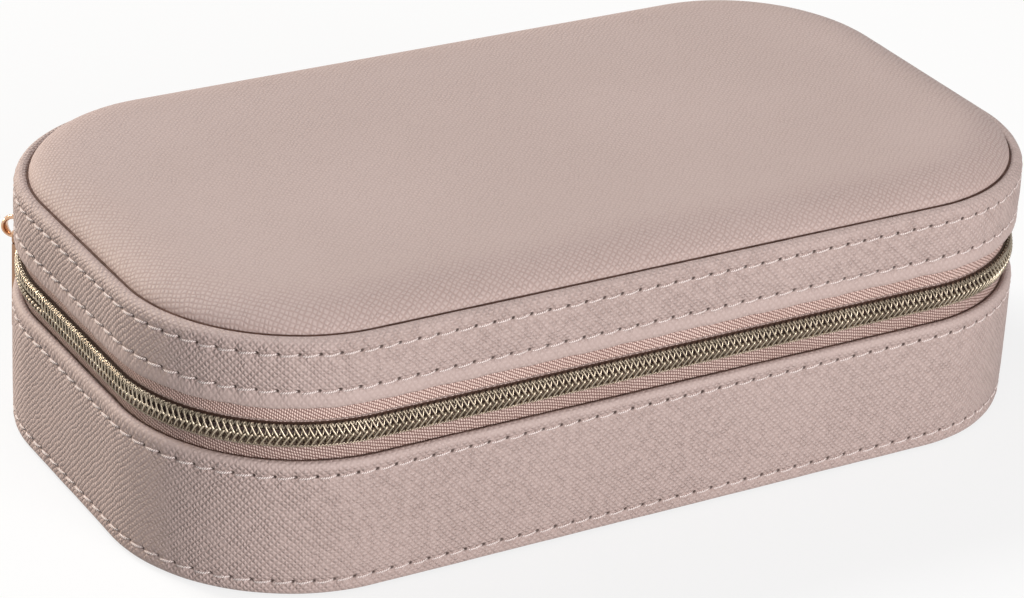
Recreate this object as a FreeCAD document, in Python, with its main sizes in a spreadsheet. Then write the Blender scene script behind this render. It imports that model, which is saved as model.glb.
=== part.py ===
import FreeCAD, Part
import math
import os
from types import SimpleNamespace

import Sketcher
from FreeCAD import Placement, Rotation, Vector

# Zip-around jewelry box: a leather-covered base and lid, joined by a leather band at the back
# and by a coil zip round the front and both ends.
# Frame: origin at the centre of the flat bottom, +X to the right seen from the front,
# +Y to the back, where the lid is hinged, +Z up. The front is at -Y. Millimetres, degrees.

doc = FreeCAD.newDocument("jewelry_box")
sheet = doc.addObject("Spreadsheet::Sheet", "sizes")

# Driving dimensions, in millimetres and degrees
SIZES = {
    # Outside of the case
    "case_length": 200,  # base, left to right
    "case_depth": 112,  # base, front to back
    "corner_radius": 37,  # base, seen from above
    "base_height": 28.2,  # bottom to the base rim
    "lower_tape_show": 5.4,  # base rim to the middle of the zip
    "upper_tape_show": 6.4,  # middle of the zip to the lid edge
    "lid_height": 13.5,  # lid edge to the lid rim
    "lid_inset": 0.4,  # lid wall behind the base wall
    "lid_rim_width": 2.7,  # rolled rim round the top panel
    "lid_rim_round": 1.8,  # rounding of the rolled rim
    "base_rim_round": 1.1,  # rounding of the base rim and bottom edge
    "bottom_lift": 0.3,  # turned-under edge above the floor
    "seam_gap": 0.2,  # groove between rim and top panel
    "seam_drop": 0.5,  # start of the crown below the rim
    "crown_height": 5.2,  # rise of the padded top panel
    "crown_reach": 11,  # edge of the top panel to its level middle
    # Sheet materials
    "glue_gap": 0.05,  # between glued faces
    "leather": 0.85,  # faux leather
    "base_board": 1.2,  # board in the base wall
    "bottom_board": 1.6,  # board in the bottom
    "collar_thickness": 1.5,  # board in the collar
    "lid_board": 1.8,  # board under the top panel
    "ceiling_thickness": 3.4,  # padded panel inside the lid
    "lining": 0.5,  # velvet lining
    "lid_lining": 0.6,  # lining of the lid wall
    "tape_thickness": 0.6,  # zip tape
    "band_thickness": 0.8,  # hinge band
    "hem_height": 4.9,  # doubled lower hem of the lid
    "tape_tuck": 8,  # tape and hinge band below the base rim
    "pad_thickness": 2,  # floor pad
    "rest_gap": 0.4,  # collar below the lid's ceiling
    # Zip
    "coil_width": 5,  # closed chain, across both halves
    "coil_gap": 1,  # between the two rails of the chain
    "coil_sink": 0.45,  # chain behind the base wall
    "coil_round": 0.7,  # rounding of the chain
    "tape_gap": 1.3,  # between the edges of the two tapes
    "run_clearance": 0.25,  # slider plate above the chain
    "slider_angle": 49,  # slider at the back left corner, from the left end
    "slider_length": 10.5,  # slider along the zip
    "slider_nose": 8,  # height of the slider's front
    "slider_tail": 6.4,  # height of the slider's back
    "slider_plate": 1,  # outer plate of the slider
    "slider_back": 0.7,  # inner plate of the slider
    "slider_round": 0.4,  # rounding of the outer plate
    "back_clearance": 0.75,  # tape to the slider's inner plate
    "collar_clearance": 0.45,  # slider's inner plate to the collar
    "post_thickness": 0.6,  # post between the slider's plates
    "post_length": 2.6,  # post along the zip
    "post_setback": 1,  # post behind the slider's front
    "stop_length": 1.4,  # metal stop along the zip
    "stop_gap": 0.4,  # slider to stop
    "stop_height": 2.6,  # metal stop across one tape
    "stop_thickness": 1.5,  # metal stop above the tape
    "tape_tail": 1.4,  # tape beyond the stop
    "end_gap": 0.3,  # tape end to hinge band
    # Zip pull
    "crown_length": 6.4,  # crown at its feet
    "crown_slope": 0.6,  # crown drawn in at the top, each end
    "crown_leg": 1,  # width of a foot
    "crown_bar": 0.7,  # bar of the crown, outward
    "crown_width": 0.9,  # bar of the crown, upward
    "crown_round": 0.3,  # rounding of the bar
    "ring_radius": 2.1,  # centre line of the ring's wire
    "ring_wire": 0.9,  # ring's wire
    "ring_clearance": 0.15,  # ring to slider plate
    "bar_clearance": 0.12,  # ring to bar
    "tab_length": 19,  # tab below its head
    "tab_top": 3,  # tab below its head
    "tab_bottom": 3.6,  # tab at its lower end
    "tab_thickness": 0.8,  # tab
    "tab_hole": 1.05,  # radius of the tab's hole
    "tab_web": 0.5,  # metal round the tab's hole
    "tab_play": 0.35,  # tab's hole above the wire
    "tab_set": 0.6,  # middle of the tab inside the ring's centre
    "tab_neck": 1,  # hole centre to the straight sides
    "tab_round": 1.2,  # rounding of the tab's lower corners
    # Inside
    "ring_bay": 62,  # between the two long dividers
    "divider_thickness": 3,  # lined divider
    "divider_height": 35,  # divider above the floor pad
    "roll_margin": 0.85,  # outermost ring roll to the lining
    "roll_gap": 0.4,  # between two ring rolls
    "roll_round": 2,  # rounded ends of a ring roll
    "roll_play": 0.3,  # ring roll to divider
    "roll_base_height": 16,  # block under the ring rolls
    "mirror_length": 150,  # mirror, left to right
    "mirror_depth": 66,  # mirror, front to back
    "mirror_thickness": 1.7,  # mirror
    "mirror_round": 10,  # corners of the mirror
}
ROLL_COUNT = 6

for row, (alias, value) in enumerate(SIZES.items(), start=1):
    sheet.set(f"A{row}", alias)
    sheet.set(f"B{row}", str(value))
    sheet.setAlias(f"B{row}", alias)
doc.recompute()


class Size:
    """A length or angle: its spreadsheet formula and its present value."""

    def __init__(self, formula, value):
        self.formula = str(formula)
        self.value = float(value)

    def joined(self, sign, other, value):
        return Size(f"({self.formula} {sign} {other.formula})", value)

    def __add__(self, other):
        other = as_size(other)
        return self.joined("+", other, self.value + other.value)

    def __sub__(self, other):
        other = as_size(other)
        return self.joined("-", other, self.value - other.value)

    def __mul__(self, other):
        other = as_size(other)
        return self.joined("*", other, self.value * other.value)

    def __truediv__(self, other):
        other = as_size(other)
        return self.joined("/", other, self.value / other.value)

    def __pow__(self, other):
        other = as_size(other)
        return self.joined("^", other, self.value ** other.value)

    def __rsub__(self, other):
        return as_size(other) - self

    def __neg__(self):
        return as_size(0) - self

    __radd__ = __add__
    __rmul__ = __mul__


def as_size(number):
    return number if isinstance(number, Size) else Size(number, number)


def cosine(angle):
    return Size(f"cos({angle.formula} * 1 deg)", math.cos(math.radians(angle.value)))


def sine(angle):
    return Size(f"sin({angle.formula} * 1 deg)", math.sin(math.radians(angle.value)))


size = SimpleNamespace(**{alias: Size(f"sizes.{alias}", value) for alias, value in SIZES.items()})

# Insets, measured inward from the outside of the base wall
base_board_out = size.leather + size.glue_gap
base_board_in = base_board_out + size.base_board
lip_in = base_board_in + size.glue_gap
tape_out = lip_in + size.glue_gap
tape_in = tape_out + size.tape_thickness
band_in = tape_out + size.band_thickness
collar_out = tape_in + size.back_clearance + size.slider_back + size.collar_clearance
collar_board_out = collar_out + size.lining + size.glue_gap
collar_board_in = collar_board_out + size.collar_thickness
cavity = collar_board_in + size.glue_gap + size.lining
floor_edge = cavity + size.glue_gap
lid_skin_in = size.lid_inset + size.leather
lid_board_out = lid_skin_in + size.glue_gap
lid_rim_in = size.lid_inset + size.lid_rim_width
lid_lining_out = lid_rim_in + size.glue_gap
lid_lining_in = lid_lining_out + size.lid_lining
panel_edge = lid_rim_in + size.seam_gap

# Levels above the floor
bottom_board_base = size.leather + size.glue_gap
inner_floor = bottom_board_base + size.bottom_board + size.glue_gap
pad_top = inner_floor + size.pad_thickness
bay_floor = pad_top + size.glue_gap
tape_base = size.base_height - size.tape_tuck
zip_level = size.base_height + size.lower_tape_show
lid_edge = zip_level + size.upper_tape_show
hem_top = lid_edge + size.hem_height
lid_top = lid_edge + size.lid_height
rim_underside = lid_top - size.leather
lid_board_top = rim_underside - size.glue_gap
lid_board_base = lid_board_top - size.lid_board
ceiling_top = lid_board_base - size.glue_gap
ceiling_base = ceiling_top - size.ceiling_thickness
collar_top = ceiling_base - size.rest_gap
panel_base = lid_board_top + size.glue_gap
crown_base = lid_top - size.seam_drop

# Distances outward from the base wall at the slider
plate_in = size.run_clearance - size.coil_sink
plate_out = plate_in + size.slider_plate
back_out = -(tape_in + size.back_clearance)
ring_out = plate_out + size.ring_clearance + size.ring_wire / 2 + size.ring_radius
bar_in = plate_out + size.ring_clearance + size.ring_wire + size.bar_clearance
bar_out = bar_in + size.crown_bar
tab_out = ring_out - size.tab_set + size.tab_thickness / 2

# Angles round a back corner, from the end wall
ARC_TO_DEGREES = 180 / math.pi


def along_corner(length):
    return length / size.corner_radius * ARC_TO_DEGREES


slider_end = size.slider_length / 2 + size.stop_gap
stop_angle = size.slider_angle + along_corner(slider_end + size.stop_length / 2)
coil_end_angle = size.slider_angle + along_corner(slider_end - size.stop_gap / 2)
upper_coil_angle = size.slider_angle - along_corner(slider_end)
tape_end_angle = size.slider_angle + along_corner(slider_end + size.stop_length + size.tape_tail)
band_angle = tape_end_angle + along_corner(size.end_gap)

corner_x = size.case_length / 2 - size.corner_radius
corner_y = size.case_depth / 2 - size.corner_radius

# A sketch's axes and the points of a line or an arc, by number; the origin starts the X axis
Y_AXIS, X_AXIS = range(-2, 0)
ORIGIN = X_AXIS
START, END, CENTRE = range(1, 4)


def same(first, second):
    """Tell whether two places on one axis are the same, to a micrometre."""
    return round(first - second, 3) == 0


def new_body(label):
    body = doc.addObject("PartDesign::Body", label)
    body.Label = label
    return body


def new_sketch(body, name, offset, role="XY_Plane"):
    """Start a sketch on one of the body's own planes, moved along its normal."""
    sketch = body.newObject("Sketcher::SketchObject", f"{body.Name}_{name}")
    plane = next(item for item in body.Origin.OriginFeatures if item.Role == role)
    sketch.AttachmentSupport = [(plane, "")]
    sketch.MapMode = "FlatFace"
    sketch.setExpression("AttachmentOffset.Base.z", as_size(offset).formula)
    return sketch


def bind(sketch, name, distance, *constraint):
    """Add a dimension to a sketch and tie it to the sheet."""
    index = sketch.addConstraint(Sketcher.Constraint(*constraint, distance.value))
    sketch.renameConstraint(index, name)
    sketch.setExpression(f"Constraints.{name}", distance.formula)


def pin(sketch, name, geometry, position, x, y):
    """Fix a point of a sketch by its distances from the sketch's origin."""
    for kind, distance, axis in (("DistanceX", as_size(x), Y_AXIS), ("DistanceY", as_size(y), X_AXIS)):
        if distance.value > 0:
            bind(sketch, f"{name}_{kind}", distance, kind, ORIGIN, START, geometry, position)
        elif distance.value < 0:
            bind(sketch, f"{name}_{kind}", -distance, kind, geometry, position, ORIGIN, START)
        else:
            sketch.addConstraint(Sketcher.Constraint("PointOnObject", geometry, position, axis))


def add_polygon(sketch, name, points):
    """Draw a closed outline of straight lines through the points."""
    first = sketch.GeometryCount
    places = [Vector(as_size(x).value, as_size(y).value, 0) for x, y in points]
    for place, following in zip(places, places[1:] + places[:1]):
        sketch.addGeometry(Part.LineSegment(place, following), False)
    for index, (x, y) in enumerate(points):
        line, following = first + index, first + (index + 1) % len(points)
        sketch.addConstraint(Sketcher.Constraint("Coincident", line, END, following, START))
        pin(sketch, f"{name}_{index}", line, START, x, y)


def add_rectangle(sketch, name, x_low, x_high, y_low, y_high):
    add_polygon(sketch, name, [(x_low, y_low), (x_high, y_low), (x_high, y_high), (x_low, y_high)])


def add_circle(sketch, name, x, y, radius):
    place = Vector(as_size(x).value, as_size(y).value, 0)
    circle = sketch.addGeometry(Part.Circle(place, Vector(0, 0, 1), radius.value), False)
    bind(sketch, f"{name}_radius", radius, "Radius", circle)
    pin(sketch, f"{name}_centre", circle, CENTRE, x, y)


def add_rounded_rectangle(sketch, name, half_x, half_y, radius):
    """Draw four sides and four quarter arcs about the sketch's origin."""
    first = sketch.GeometryCount
    x, y = half_x.value, half_y.value
    inner_x, inner_y = x - radius.value, y - radius.value
    sides = [
        (Vector(-inner_x, -y, 0), Vector(inner_x, -y, 0)),
        (Vector(x, -inner_y, 0), Vector(x, inner_y, 0)),
        (Vector(inner_x, y, 0), Vector(-inner_x, y, 0)),
        (Vector(-x, inner_y, 0), Vector(-x, -inner_y, 0)),
    ]
    centres = [(inner_x, -inner_y), (inner_x, inner_y), (-inner_x, inner_y), (-inner_x, -inner_y)]
    for index, (side, (centre_x, centre_y)) in enumerate(zip(sides, centres)):
        sketch.addGeometry(Part.LineSegment(*side), False)
        circle = Part.Circle(Vector(centre_x, centre_y, 0), Vector(0, 0, 1), radius.value)
        start = (index - 1) * math.pi / 2
        sketch.addGeometry(Part.ArcOfCircle(circle, start, start + math.pi / 2), False)
    front, right, back, left = (first + 2 * index for index in range(4))
    for index in range(4):
        side, arc, following = first + 2 * index, first + 2 * index + 1, first + 2 * ((index + 1) % 4)
        sketch.addConstraint(Sketcher.Constraint("Tangent", side, END, arc, START))
        sketch.addConstraint(Sketcher.Constraint("Tangent", arc, END, following, START))
        if index:
            sketch.addConstraint(Sketcher.Constraint("Equal", first + 1, arc))
    for side in (front, back):
        sketch.addConstraint(Sketcher.Constraint("Horizontal", side))
    for side in (right, left):
        sketch.addConstraint(Sketcher.Constraint("Vertical", side))
    bind(sketch, f"{name}_right", half_x, "DistanceX", ORIGIN, START, right, START)
    bind(sketch, f"{name}_left", half_x, "DistanceX", left, START, ORIGIN, START)
    bind(sketch, f"{name}_back", half_y, "DistanceY", ORIGIN, START, back, START)
    bind(sketch, f"{name}_front", half_y, "DistanceY", front, START, ORIGIN, START)
    bind(sketch, f"{name}_radius", radius, "Radius", first + 1)


def add_outline(sketch, name, inset):
    """Draw the case's rounded outline, drawn in by an inset."""
    inset = as_size(inset)
    half_x, half_y = size.case_length / 2 - inset, size.case_depth / 2 - inset
    add_rounded_rectangle(sketch, name, half_x, half_y, size.corner_radius - inset)


def add_back_sector(sketch, left_angle, right_angle):
    """Draw the part of the case behind two rays that leave the back corner centres."""
    reach = size.corner_radius * 2
    add_polygon(sketch, "sector", [
        (-corner_x, corner_y),
        (corner_x, corner_y),
        (corner_x + reach * cosine(right_angle), corner_y + reach * sine(right_angle)),
        (-(corner_x + reach * cosine(left_angle)), corner_y + reach * sine(left_angle)),
    ])


def add_front_sector(sketch, angle):
    """Draw the rest of the case, in front of those two rays."""
    reach = size.corner_radius * 2
    ray_x, ray_y = corner_x + reach * cosine(angle), corner_y + reach * sine(angle)
    far_x, far_y = size.case_length, size.case_depth
    add_polygon(sketch, "sector", [
        (corner_x, corner_y), (-corner_x, corner_y), (-ray_x, ray_y), (-far_x, ray_y),
        (-far_x, -far_y), (far_x, -far_y), (far_x, ray_y), (ray_x, ray_y),
    ])


def pad(body, sketch, name, length):
    feature = body.newObject("PartDesign::Pad", f"{body.Name}_{name}")
    feature.Profile = sketch
    feature.setExpression("Length", as_size(length).formula)
    return feature


def pocket_up(body, sketch, name, length):
    """Cut from the sketch's plane along its normal."""
    feature = body.newObject("PartDesign::Pocket", f"{body.Name}_{name}")
    feature.Profile = sketch
    feature.Reversed = True
    feature.setExpression("Length", as_size(length).formula)
    return feature


def round_edges(body, feature, name, radius, chosen):
    """Round the edges of a feature for which chosen(edge) is true."""
    doc.recompute()
    edges = [f"Edge{number}" for number, edge in enumerate(feature.Shape.Edges, 1) if chosen(edge)]
    fillet = body.newObject("PartDesign::Fillet", f"{body.Name}_{name}")
    fillet.Base = (feature, edges)
    fillet.setExpression("Radius", radius.formula)
    return fillet


def level_with(level):
    """Choose edges that lie at one height."""

    def chosen(edge):
        bounds = edge.BoundBox
        return same(bounds.ZMin, level.value) and same(bounds.ZMax, level.value)

    return chosen


def plate(label, inset, low, high):
    """A flat sheet with the case's outline."""
    body = new_body(label)
    sketch = new_sketch(body, "outline", low)
    add_outline(sketch, "edge", inset)
    pad(body, sketch, "sheet", high - low)
    return body


def ring(label, outer, inner, low, high):
    """A wall with the case's outline."""
    body = new_body(label)
    sketch = new_sketch(body, "outline", low)
    add_outline(sketch, "outer", outer)
    add_outline(sketch, "inner", inner)
    pad(body, sketch, "wall", high - low)
    return body


def cut_outline(body, name, inset, low, high):
    """Cut the case's outline out of a body between two levels."""
    sketch = new_sketch(body, name, low)
    add_outline(sketch, "edge", inset)
    pocket_up(body, sketch, f"{name}_cut", high - low)


def open_at_back(body, low, high, left_angle, right_angle):
    """Cut away a wall's back, between two angles of the back corners."""
    sketch = new_sketch(body, "back", low)
    add_back_sector(sketch, left_angle, right_angle)
    pocket_up(body, sketch, "back_cut", high - low)


def base_wall_cover():
    body = new_body("base_wall_cover")
    sketch = new_sketch(body, "outline", size.bottom_lift)
    add_outline(sketch, "edge", 0)
    block = pad(body, sketch, "block", size.base_height - size.bottom_lift)
    at_top, at_bottom = level_with(size.base_height), level_with(size.bottom_lift)
    round_edges(body, block, "rims", size.base_rim_round, lambda edge: at_top(edge) or at_bottom(edge))
    cut_outline(body, "opening", lip_in, size.bottom_lift, size.base_height)
    board_top = size.base_height - size.leather
    cut_outline(body, "board_room", size.leather, size.bottom_lift + size.leather, board_top)


def base_inner_wall():
    """Board, foam and collar that stand on the bottom board inside the base's leather."""
    ring("base_wall_board", base_board_out, base_board_in, size.bottom_lift + base_board_out,
         size.base_height - base_board_out)
    ring("base_wall_spacer", tape_out, collar_out - size.glue_gap, inner_floor, tape_base - size.glue_gap)
    board_top = collar_top - size.lining - size.glue_gap
    ring("collar_board", collar_board_out, collar_board_in, inner_floor, board_top)
    body = ring("collar_lining", collar_out, cavity, inner_floor, collar_top)
    room = new_sketch(body, "board_room", inner_floor)
    add_outline(room, "outer", collar_out + size.lining)
    add_outline(room, "inner", cavity - size.lining)
    pocket_up(body, room, "board_room_cut", collar_top - size.lining - inner_floor)


def base_bottom():
    plate("base_bottom_cover", tape_out, as_size(0), size.leather)
    plate("base_bottom_board", tape_out, bottom_board_base, bottom_board_base + size.bottom_board)
    plate("floor_pad", floor_edge, inner_floor, pad_top)


def box(label, x_low, x_high, y_low, y_high, low, high):
    body = new_body(label)
    sketch = new_sketch(body, "outline", low)
    add_rectangle(sketch, "side", x_low, x_high, y_low, y_high)
    pad(body, sketch, "block", high - low)


def dividers():
    wall_x, wall_y = size.case_length / 2 - floor_edge, size.case_depth / 2 - floor_edge
    near, far = size.ring_bay / 2, size.ring_bay / 2 + size.divider_thickness
    top = bay_floor + size.divider_height
    box("divider_left", -far, -near, -wall_y, wall_y, bay_floor, top)
    box("divider_right", near, far, -wall_y, wall_y, bay_floor, top)
    half = size.divider_thickness / 2
    box("cross_divider", far + size.glue_gap, wall_x, -half, half, bay_floor, top)


def ring_rolls():
    """A foam block between the long dividers, and stuffed rolls that lie across it and fill the bay."""
    half_x, half_y = size.ring_bay / 2 - size.roll_play, size.case_depth / 2 - floor_edge
    block_top = bay_floor + size.roll_base_height
    box("ring_roll_base", -half_x, half_x, -half_y, half_y, bay_floor, block_top)
    pitch = ((half_y - size.roll_margin) * 2 + size.roll_gap) / ROLL_COUNT
    radius = (pitch - size.roll_gap) / 2
    for index in range(ROLL_COUNT):
        body = new_body(f"ring_roll_{index + 1}")
        sketch = new_sketch(body, "section", -half_x, "YZ_Plane")
        y = pitch * (index - (ROLL_COUNT - 1) / 2)
        add_circle(sketch, "roll", y, block_top + size.glue_gap + radius, radius)
        roll = pad(body, sketch, "roll", half_x * 2)
        round_edges(body, roll, "ends", size.roll_round, lambda edge: len(edge.Vertexes) == 1)


def zip_halves():
    """Tapes and coil rails, open at the back, where the hinge band takes their place."""
    half_tape, half_coil, half_gap = size.tape_gap / 2, size.coil_width / 2, size.coil_gap / 2
    tapes = [
        ("lower_zip_tape", tape_base, zip_level - half_tape),
        ("upper_zip_tape", zip_level + half_tape, hem_top),
    ]
    for label, low, high in tapes:
        body = ring(label, tape_out, tape_in, low, high)
        open_at_back(body, low, high, tape_end_angle, tape_end_angle)
    coils = [
        ("lower_zip_coil", zip_level - half_coil, zip_level - half_gap, coil_end_angle),
        ("upper_zip_coil", zip_level + half_gap, zip_level + half_coil, upper_coil_angle),
    ]
    for label, low, high, left_angle in coils:
        body = new_body(label)
        sketch = new_sketch(body, "outline", low)
        add_outline(sketch, "outer", size.coil_sink)
        block = pad(body, sketch, "block", high - low)
        at_top, at_bottom = level_with(high), level_with(low)
        round_edges(body, block, "rounding", size.coil_round, lambda edge: at_top(edge) or at_bottom(edge))
        cut_outline(body, "inside", lip_in, low, high)
        open_at_back(body, low, high, left_angle, coil_end_angle)


def hinge_band():
    body = ring("hinge_band", tape_out, band_in, tape_base, hem_top)
    sketch = new_sketch(body, "front", tape_base)
    add_front_sector(sketch, band_angle)
    pocket_up(body, sketch, "front_cut", hem_top - tape_base)


def lid_wall():
    body = new_body("lid_wall_cover")
    sketch = new_sketch(body, "outline", lid_edge)
    add_outline(sketch, "edge", size.lid_inset)
    block = pad(body, sketch, "block", size.lid_height)
    round_edges(body, block, "rim", size.lid_rim_round, level_with(lid_top))
    cut_outline(body, "opening", lid_rim_in, lid_edge, lid_top)
    cut_outline(body, "hem", lip_in, lid_edge, hem_top)
    cut_outline(body, "board_room", lid_skin_in, hem_top, rim_underside)
    ring("lid_wall_board", lid_board_out, lid_rim_in, hem_top + size.glue_gap, lid_board_top)
    ring("lid_wall_lining", lid_lining_out, lid_lining_in, lid_edge, ceiling_base - size.glue_gap)


def crown_sections(body, name, inset, drop):
    """Outlines of the padded panel, from its foot up to its level middle.

    The panel's edge rises as a quarter of an ellipse: steep at the seam, level at the crown's reach.
    """
    sketches = []
    for number, share in enumerate((0, 0.02, 0.08, 0.2, 0.42, 0.7, 1)):
        run = size.crown_reach * share
        rise = size.crown_height * (1 - (1 - share) ** 2) ** 0.5
        level = crown_base + rise - drop if share else panel_base
        sketch = new_sketch(body, f"{name}_{number}", level)
        add_outline(sketch, "edge", panel_edge + inset + run)
        sketches.append(sketch)
    return sketches


def loft(body, kind, name, sections):
    feature = body.newObject(f"PartDesign::{kind}", f"{body.Name}_{name}")
    feature.Profile = sections[0]
    feature.Sections = [(section, [""]) for section in sections[1:]]
    feature.Ruled = True


def lid_top_panel():
    """Board, foam crown and leather of the top panel."""
    plate("lid_top_board", lid_lining_out, lid_board_base, lid_board_top)
    foam = new_body("lid_top_padding")
    foam_inset = size.leather + size.glue_gap
    loft(foam, "AdditiveLoft", "crown", crown_sections(foam, "foam", foam_inset, foam_inset))
    cover = new_body("lid_top_cover")
    loft(cover, "AdditiveLoft", "crown", crown_sections(cover, "outer", 0, 0))
    loft(cover, "SubtractiveLoft", "foam_room", crown_sections(cover, "inner", size.leather, size.leather))


def lid_inside():
    plate("lid_ceiling_panel", lid_lining_out, ceiling_base, ceiling_top)
    body = new_body("lid_mirror")
    sketch = new_sketch(body, "outline", ceiling_base - size.glue_gap - size.mirror_thickness)
    add_rounded_rectangle(sketch, "edge", size.mirror_length / 2, size.mirror_depth / 2, size.mirror_round)
    pad(body, sketch, "glass", size.mirror_thickness)


def place_at_corner(body, angle, outward, level, side=-1):
    """Stand a body at a back corner: its +Y points out of the case, its +X along the zip.

    side is -1 for the left corner and 1 for the right one.
    """
    reach = size.corner_radius + outward
    x = (corner_x + reach * cosine(angle)) * side
    y = corner_y + reach * sine(angle)
    turn = (90 - angle) * -side
    body.Placement = Placement(Vector(x.value, y.value, level.value), Rotation(Vector(0, 0, 1), turn.value))
    body.setExpression("Placement.Base.x", x.formula)
    body.setExpression("Placement.Base.y", y.formula)
    body.setExpression("Placement.Base.z", level.formula)
    body.setExpression("Placement.Rotation.Angle", f"{turn.formula} * 1 deg")


def zip_stops():
    """Metal stops crimped on the tapes behind the slider and at the far end of the zip."""
    half, half_tape = size.stop_length / 2, size.tape_gap / 2
    stops = [
        ("lower_top_stop", -1, -half_tape - size.stop_height),
        ("upper_top_stop", -1, half_tape),
        ("zip_bottom_stop", 1, -half_tape - size.stop_height),
    ]
    for label, side, low in stops:
        body = new_body(label)
        sketch = new_sketch(body, "outline", low)
        add_rectangle(sketch, "side", -half, half, -lip_in, size.stop_thickness - lip_in)
        pad(body, sketch, "block", size.stop_height)
        place_at_corner(body, stop_angle, as_size(0), zip_level, side)


def slider_plate_sketch(body, name, outward):
    """Outline of a slider plate, seen from outside: higher at the front, where the tapes part."""
    sketch = new_sketch(body, name, -outward, "XZ_Plane")
    half, nose, tail = size.slider_length / 2, size.slider_nose / 2, size.slider_tail / 2
    add_polygon(sketch, "edge", [(-half, -tail), (half, -nose), (half, nose), (-half, tail)])
    return sketch


def zip_slider():
    body = new_body("zip_slider")
    outer = pad(body, slider_plate_sketch(body, "outer", plate_out), "outer_plate", size.slider_plate)
    round_edges(body, outer, "rounding", size.slider_round,
                lambda edge: same(edge.BoundBox.YMin, plate_out.value))
    pad(body, slider_plate_sketch(body, "inner", back_out), "inner_plate", size.slider_back)

    post = new_sketch(body, "post", -size.post_thickness / 2)
    post_front = size.slider_length / 2 - size.post_setback
    half_plate = size.slider_plate / 2
    add_rectangle(post, "post", post_front - size.post_length, post_front, back_out - size.slider_back / 2,
                  plate_in + half_plate)
    pad(body, post, "post_block", size.post_thickness)

    crown = new_sketch(body, "crown", -size.crown_width / 2)
    foot, shoulder = size.crown_length / 2, size.crown_length / 2 - size.crown_slope
    low = plate_out - half_plate
    add_polygon(crown, "outside", [(-foot, low), (foot, low), (shoulder, bar_out), (-shoulder, bar_out)])
    sill = plate_out - half_plate / 2
    add_polygon(crown, "inside", [
        (size.crown_leg - foot, sill), (foot - size.crown_leg, sill),
        (shoulder - size.crown_leg, bar_in), (size.crown_leg - shoulder, bar_in),
    ])
    arch = pad(body, crown, "crown_arch", size.crown_width)

    def along_bar(edge):
        bounds = edge.BoundBox
        level = same(bounds.YLength, 0) and same(bounds.ZLength, 0)
        return level and (same(bounds.YMin, bar_in.value) or same(bounds.YMin, bar_out.value))

    round_edges(body, arch, "crown_rounding", size.crown_round, along_bar)
    place_at_corner(body, size.slider_angle, as_size(0), zip_level)


def pull_ring():
    body = new_body("pull_ring")
    sketch = new_sketch(body, "wire", 0)
    add_circle(sketch, "wire", 0, size.ring_radius, size.ring_wire / 2)
    turned = body.newObject("PartDesign::Revolution", "pull_ring_turn")
    turned.Profile = sketch
    axis = next(item for item in body.Origin.OriginFeatures if item.Role == "X_Axis")
    turned.ReferenceAxis = (axis, [""])
    turned.Angle = 360
    place_at_corner(body, size.slider_angle, ring_out, zip_level)


def pull_tab():
    """A flat tab: a round head with a hole for the ring, and a body that widens downward."""
    body = new_body("pull_tab")
    hole_level = -(size.tab_hole - size.ring_wire / 2 - size.tab_play)
    neck = hole_level - size.tab_neck
    foot = neck - size.tab_length
    shape = new_sketch(body, "body", 0, "XZ_Plane")
    wide, narrow = size.tab_bottom / 2, size.tab_top / 2
    add_polygon(shape, "edge", [(-wide, foot), (wide, foot), (narrow, neck), (-narrow, neck)])
    blade = pad(body, shape, "blade", size.tab_thickness)
    round_edges(body, blade, "corners", size.tab_round,
                lambda edge: edge.BoundBox.YLength > size.tab_thickness.value / 2
                and same(edge.BoundBox.ZMin, foot.value))
    head = new_sketch(body, "head", 0, "XZ_Plane")
    add_circle(head, "head", 0, hole_level, size.tab_hole + size.tab_web)
    pad(body, head, "head_disc", size.tab_thickness)
    hole = new_sketch(body, "hole", 0, "XZ_Plane")
    add_circle(hole, "hole", 0, hole_level, size.tab_hole)
    pocket_up(body, hole, "hole_cut", size.tab_thickness)
    wire_drop = (size.ring_radius ** 2 - size.tab_set ** 2) ** 0.5
    place_at_corner(body, size.slider_angle, tab_out, zip_level - wire_drop)


base_wall_cover()
base_inner_wall()
base_bottom()
dividers()
ring_rolls()
zip_halves()
hinge_band()
lid_wall()
lid_top_panel()
lid_inside()
zip_stops()
zip_slider()
pull_ring()
pull_tab()
doc.recompute()

for item in doc.Objects:
    if "Invalid" in item.State or "Error" in item.State:
        raise RuntimeError(f"{item.Name} failed: {item.State}")
    if item.TypeId == "PartDesign::Pocket" and item.Shape.Volume >= item.BaseFeature.Shape.Volume:
        raise RuntimeError(f"{item.Name} cuts nothing")

bodies = [item for item in doc.Objects if item.TypeId == "PartDesign::Body"]
for body in bodies:
    if body.Shape.isNull() or not body.Shape.isValid() or len(body.Shape.Solids) != 1:
        raise RuntimeError(f"{body.Label} is not one valid solid")

os.makedirs("parts", exist_ok=True)
for body in bodies:
    body.Shape.exportStep(f"parts/{body.Label}.step")
    bounds = body.Shape.optimalBoundingBox()
    print(f"{body.Label:20s} x {bounds.XMin:8.2f} {bounds.XMax:8.2f}  y {bounds.YMin:8.2f} {bounds.YMax:8.2f}"
          f"  z {bounds.ZMin:7.2f} {bounds.ZMax:7.2f}  volume {body.Shape.Volume:10.1f}")
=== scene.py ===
import math

import bmesh
import bpy
import numpy as np
from mathutils import Matrix, Vector


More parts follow.
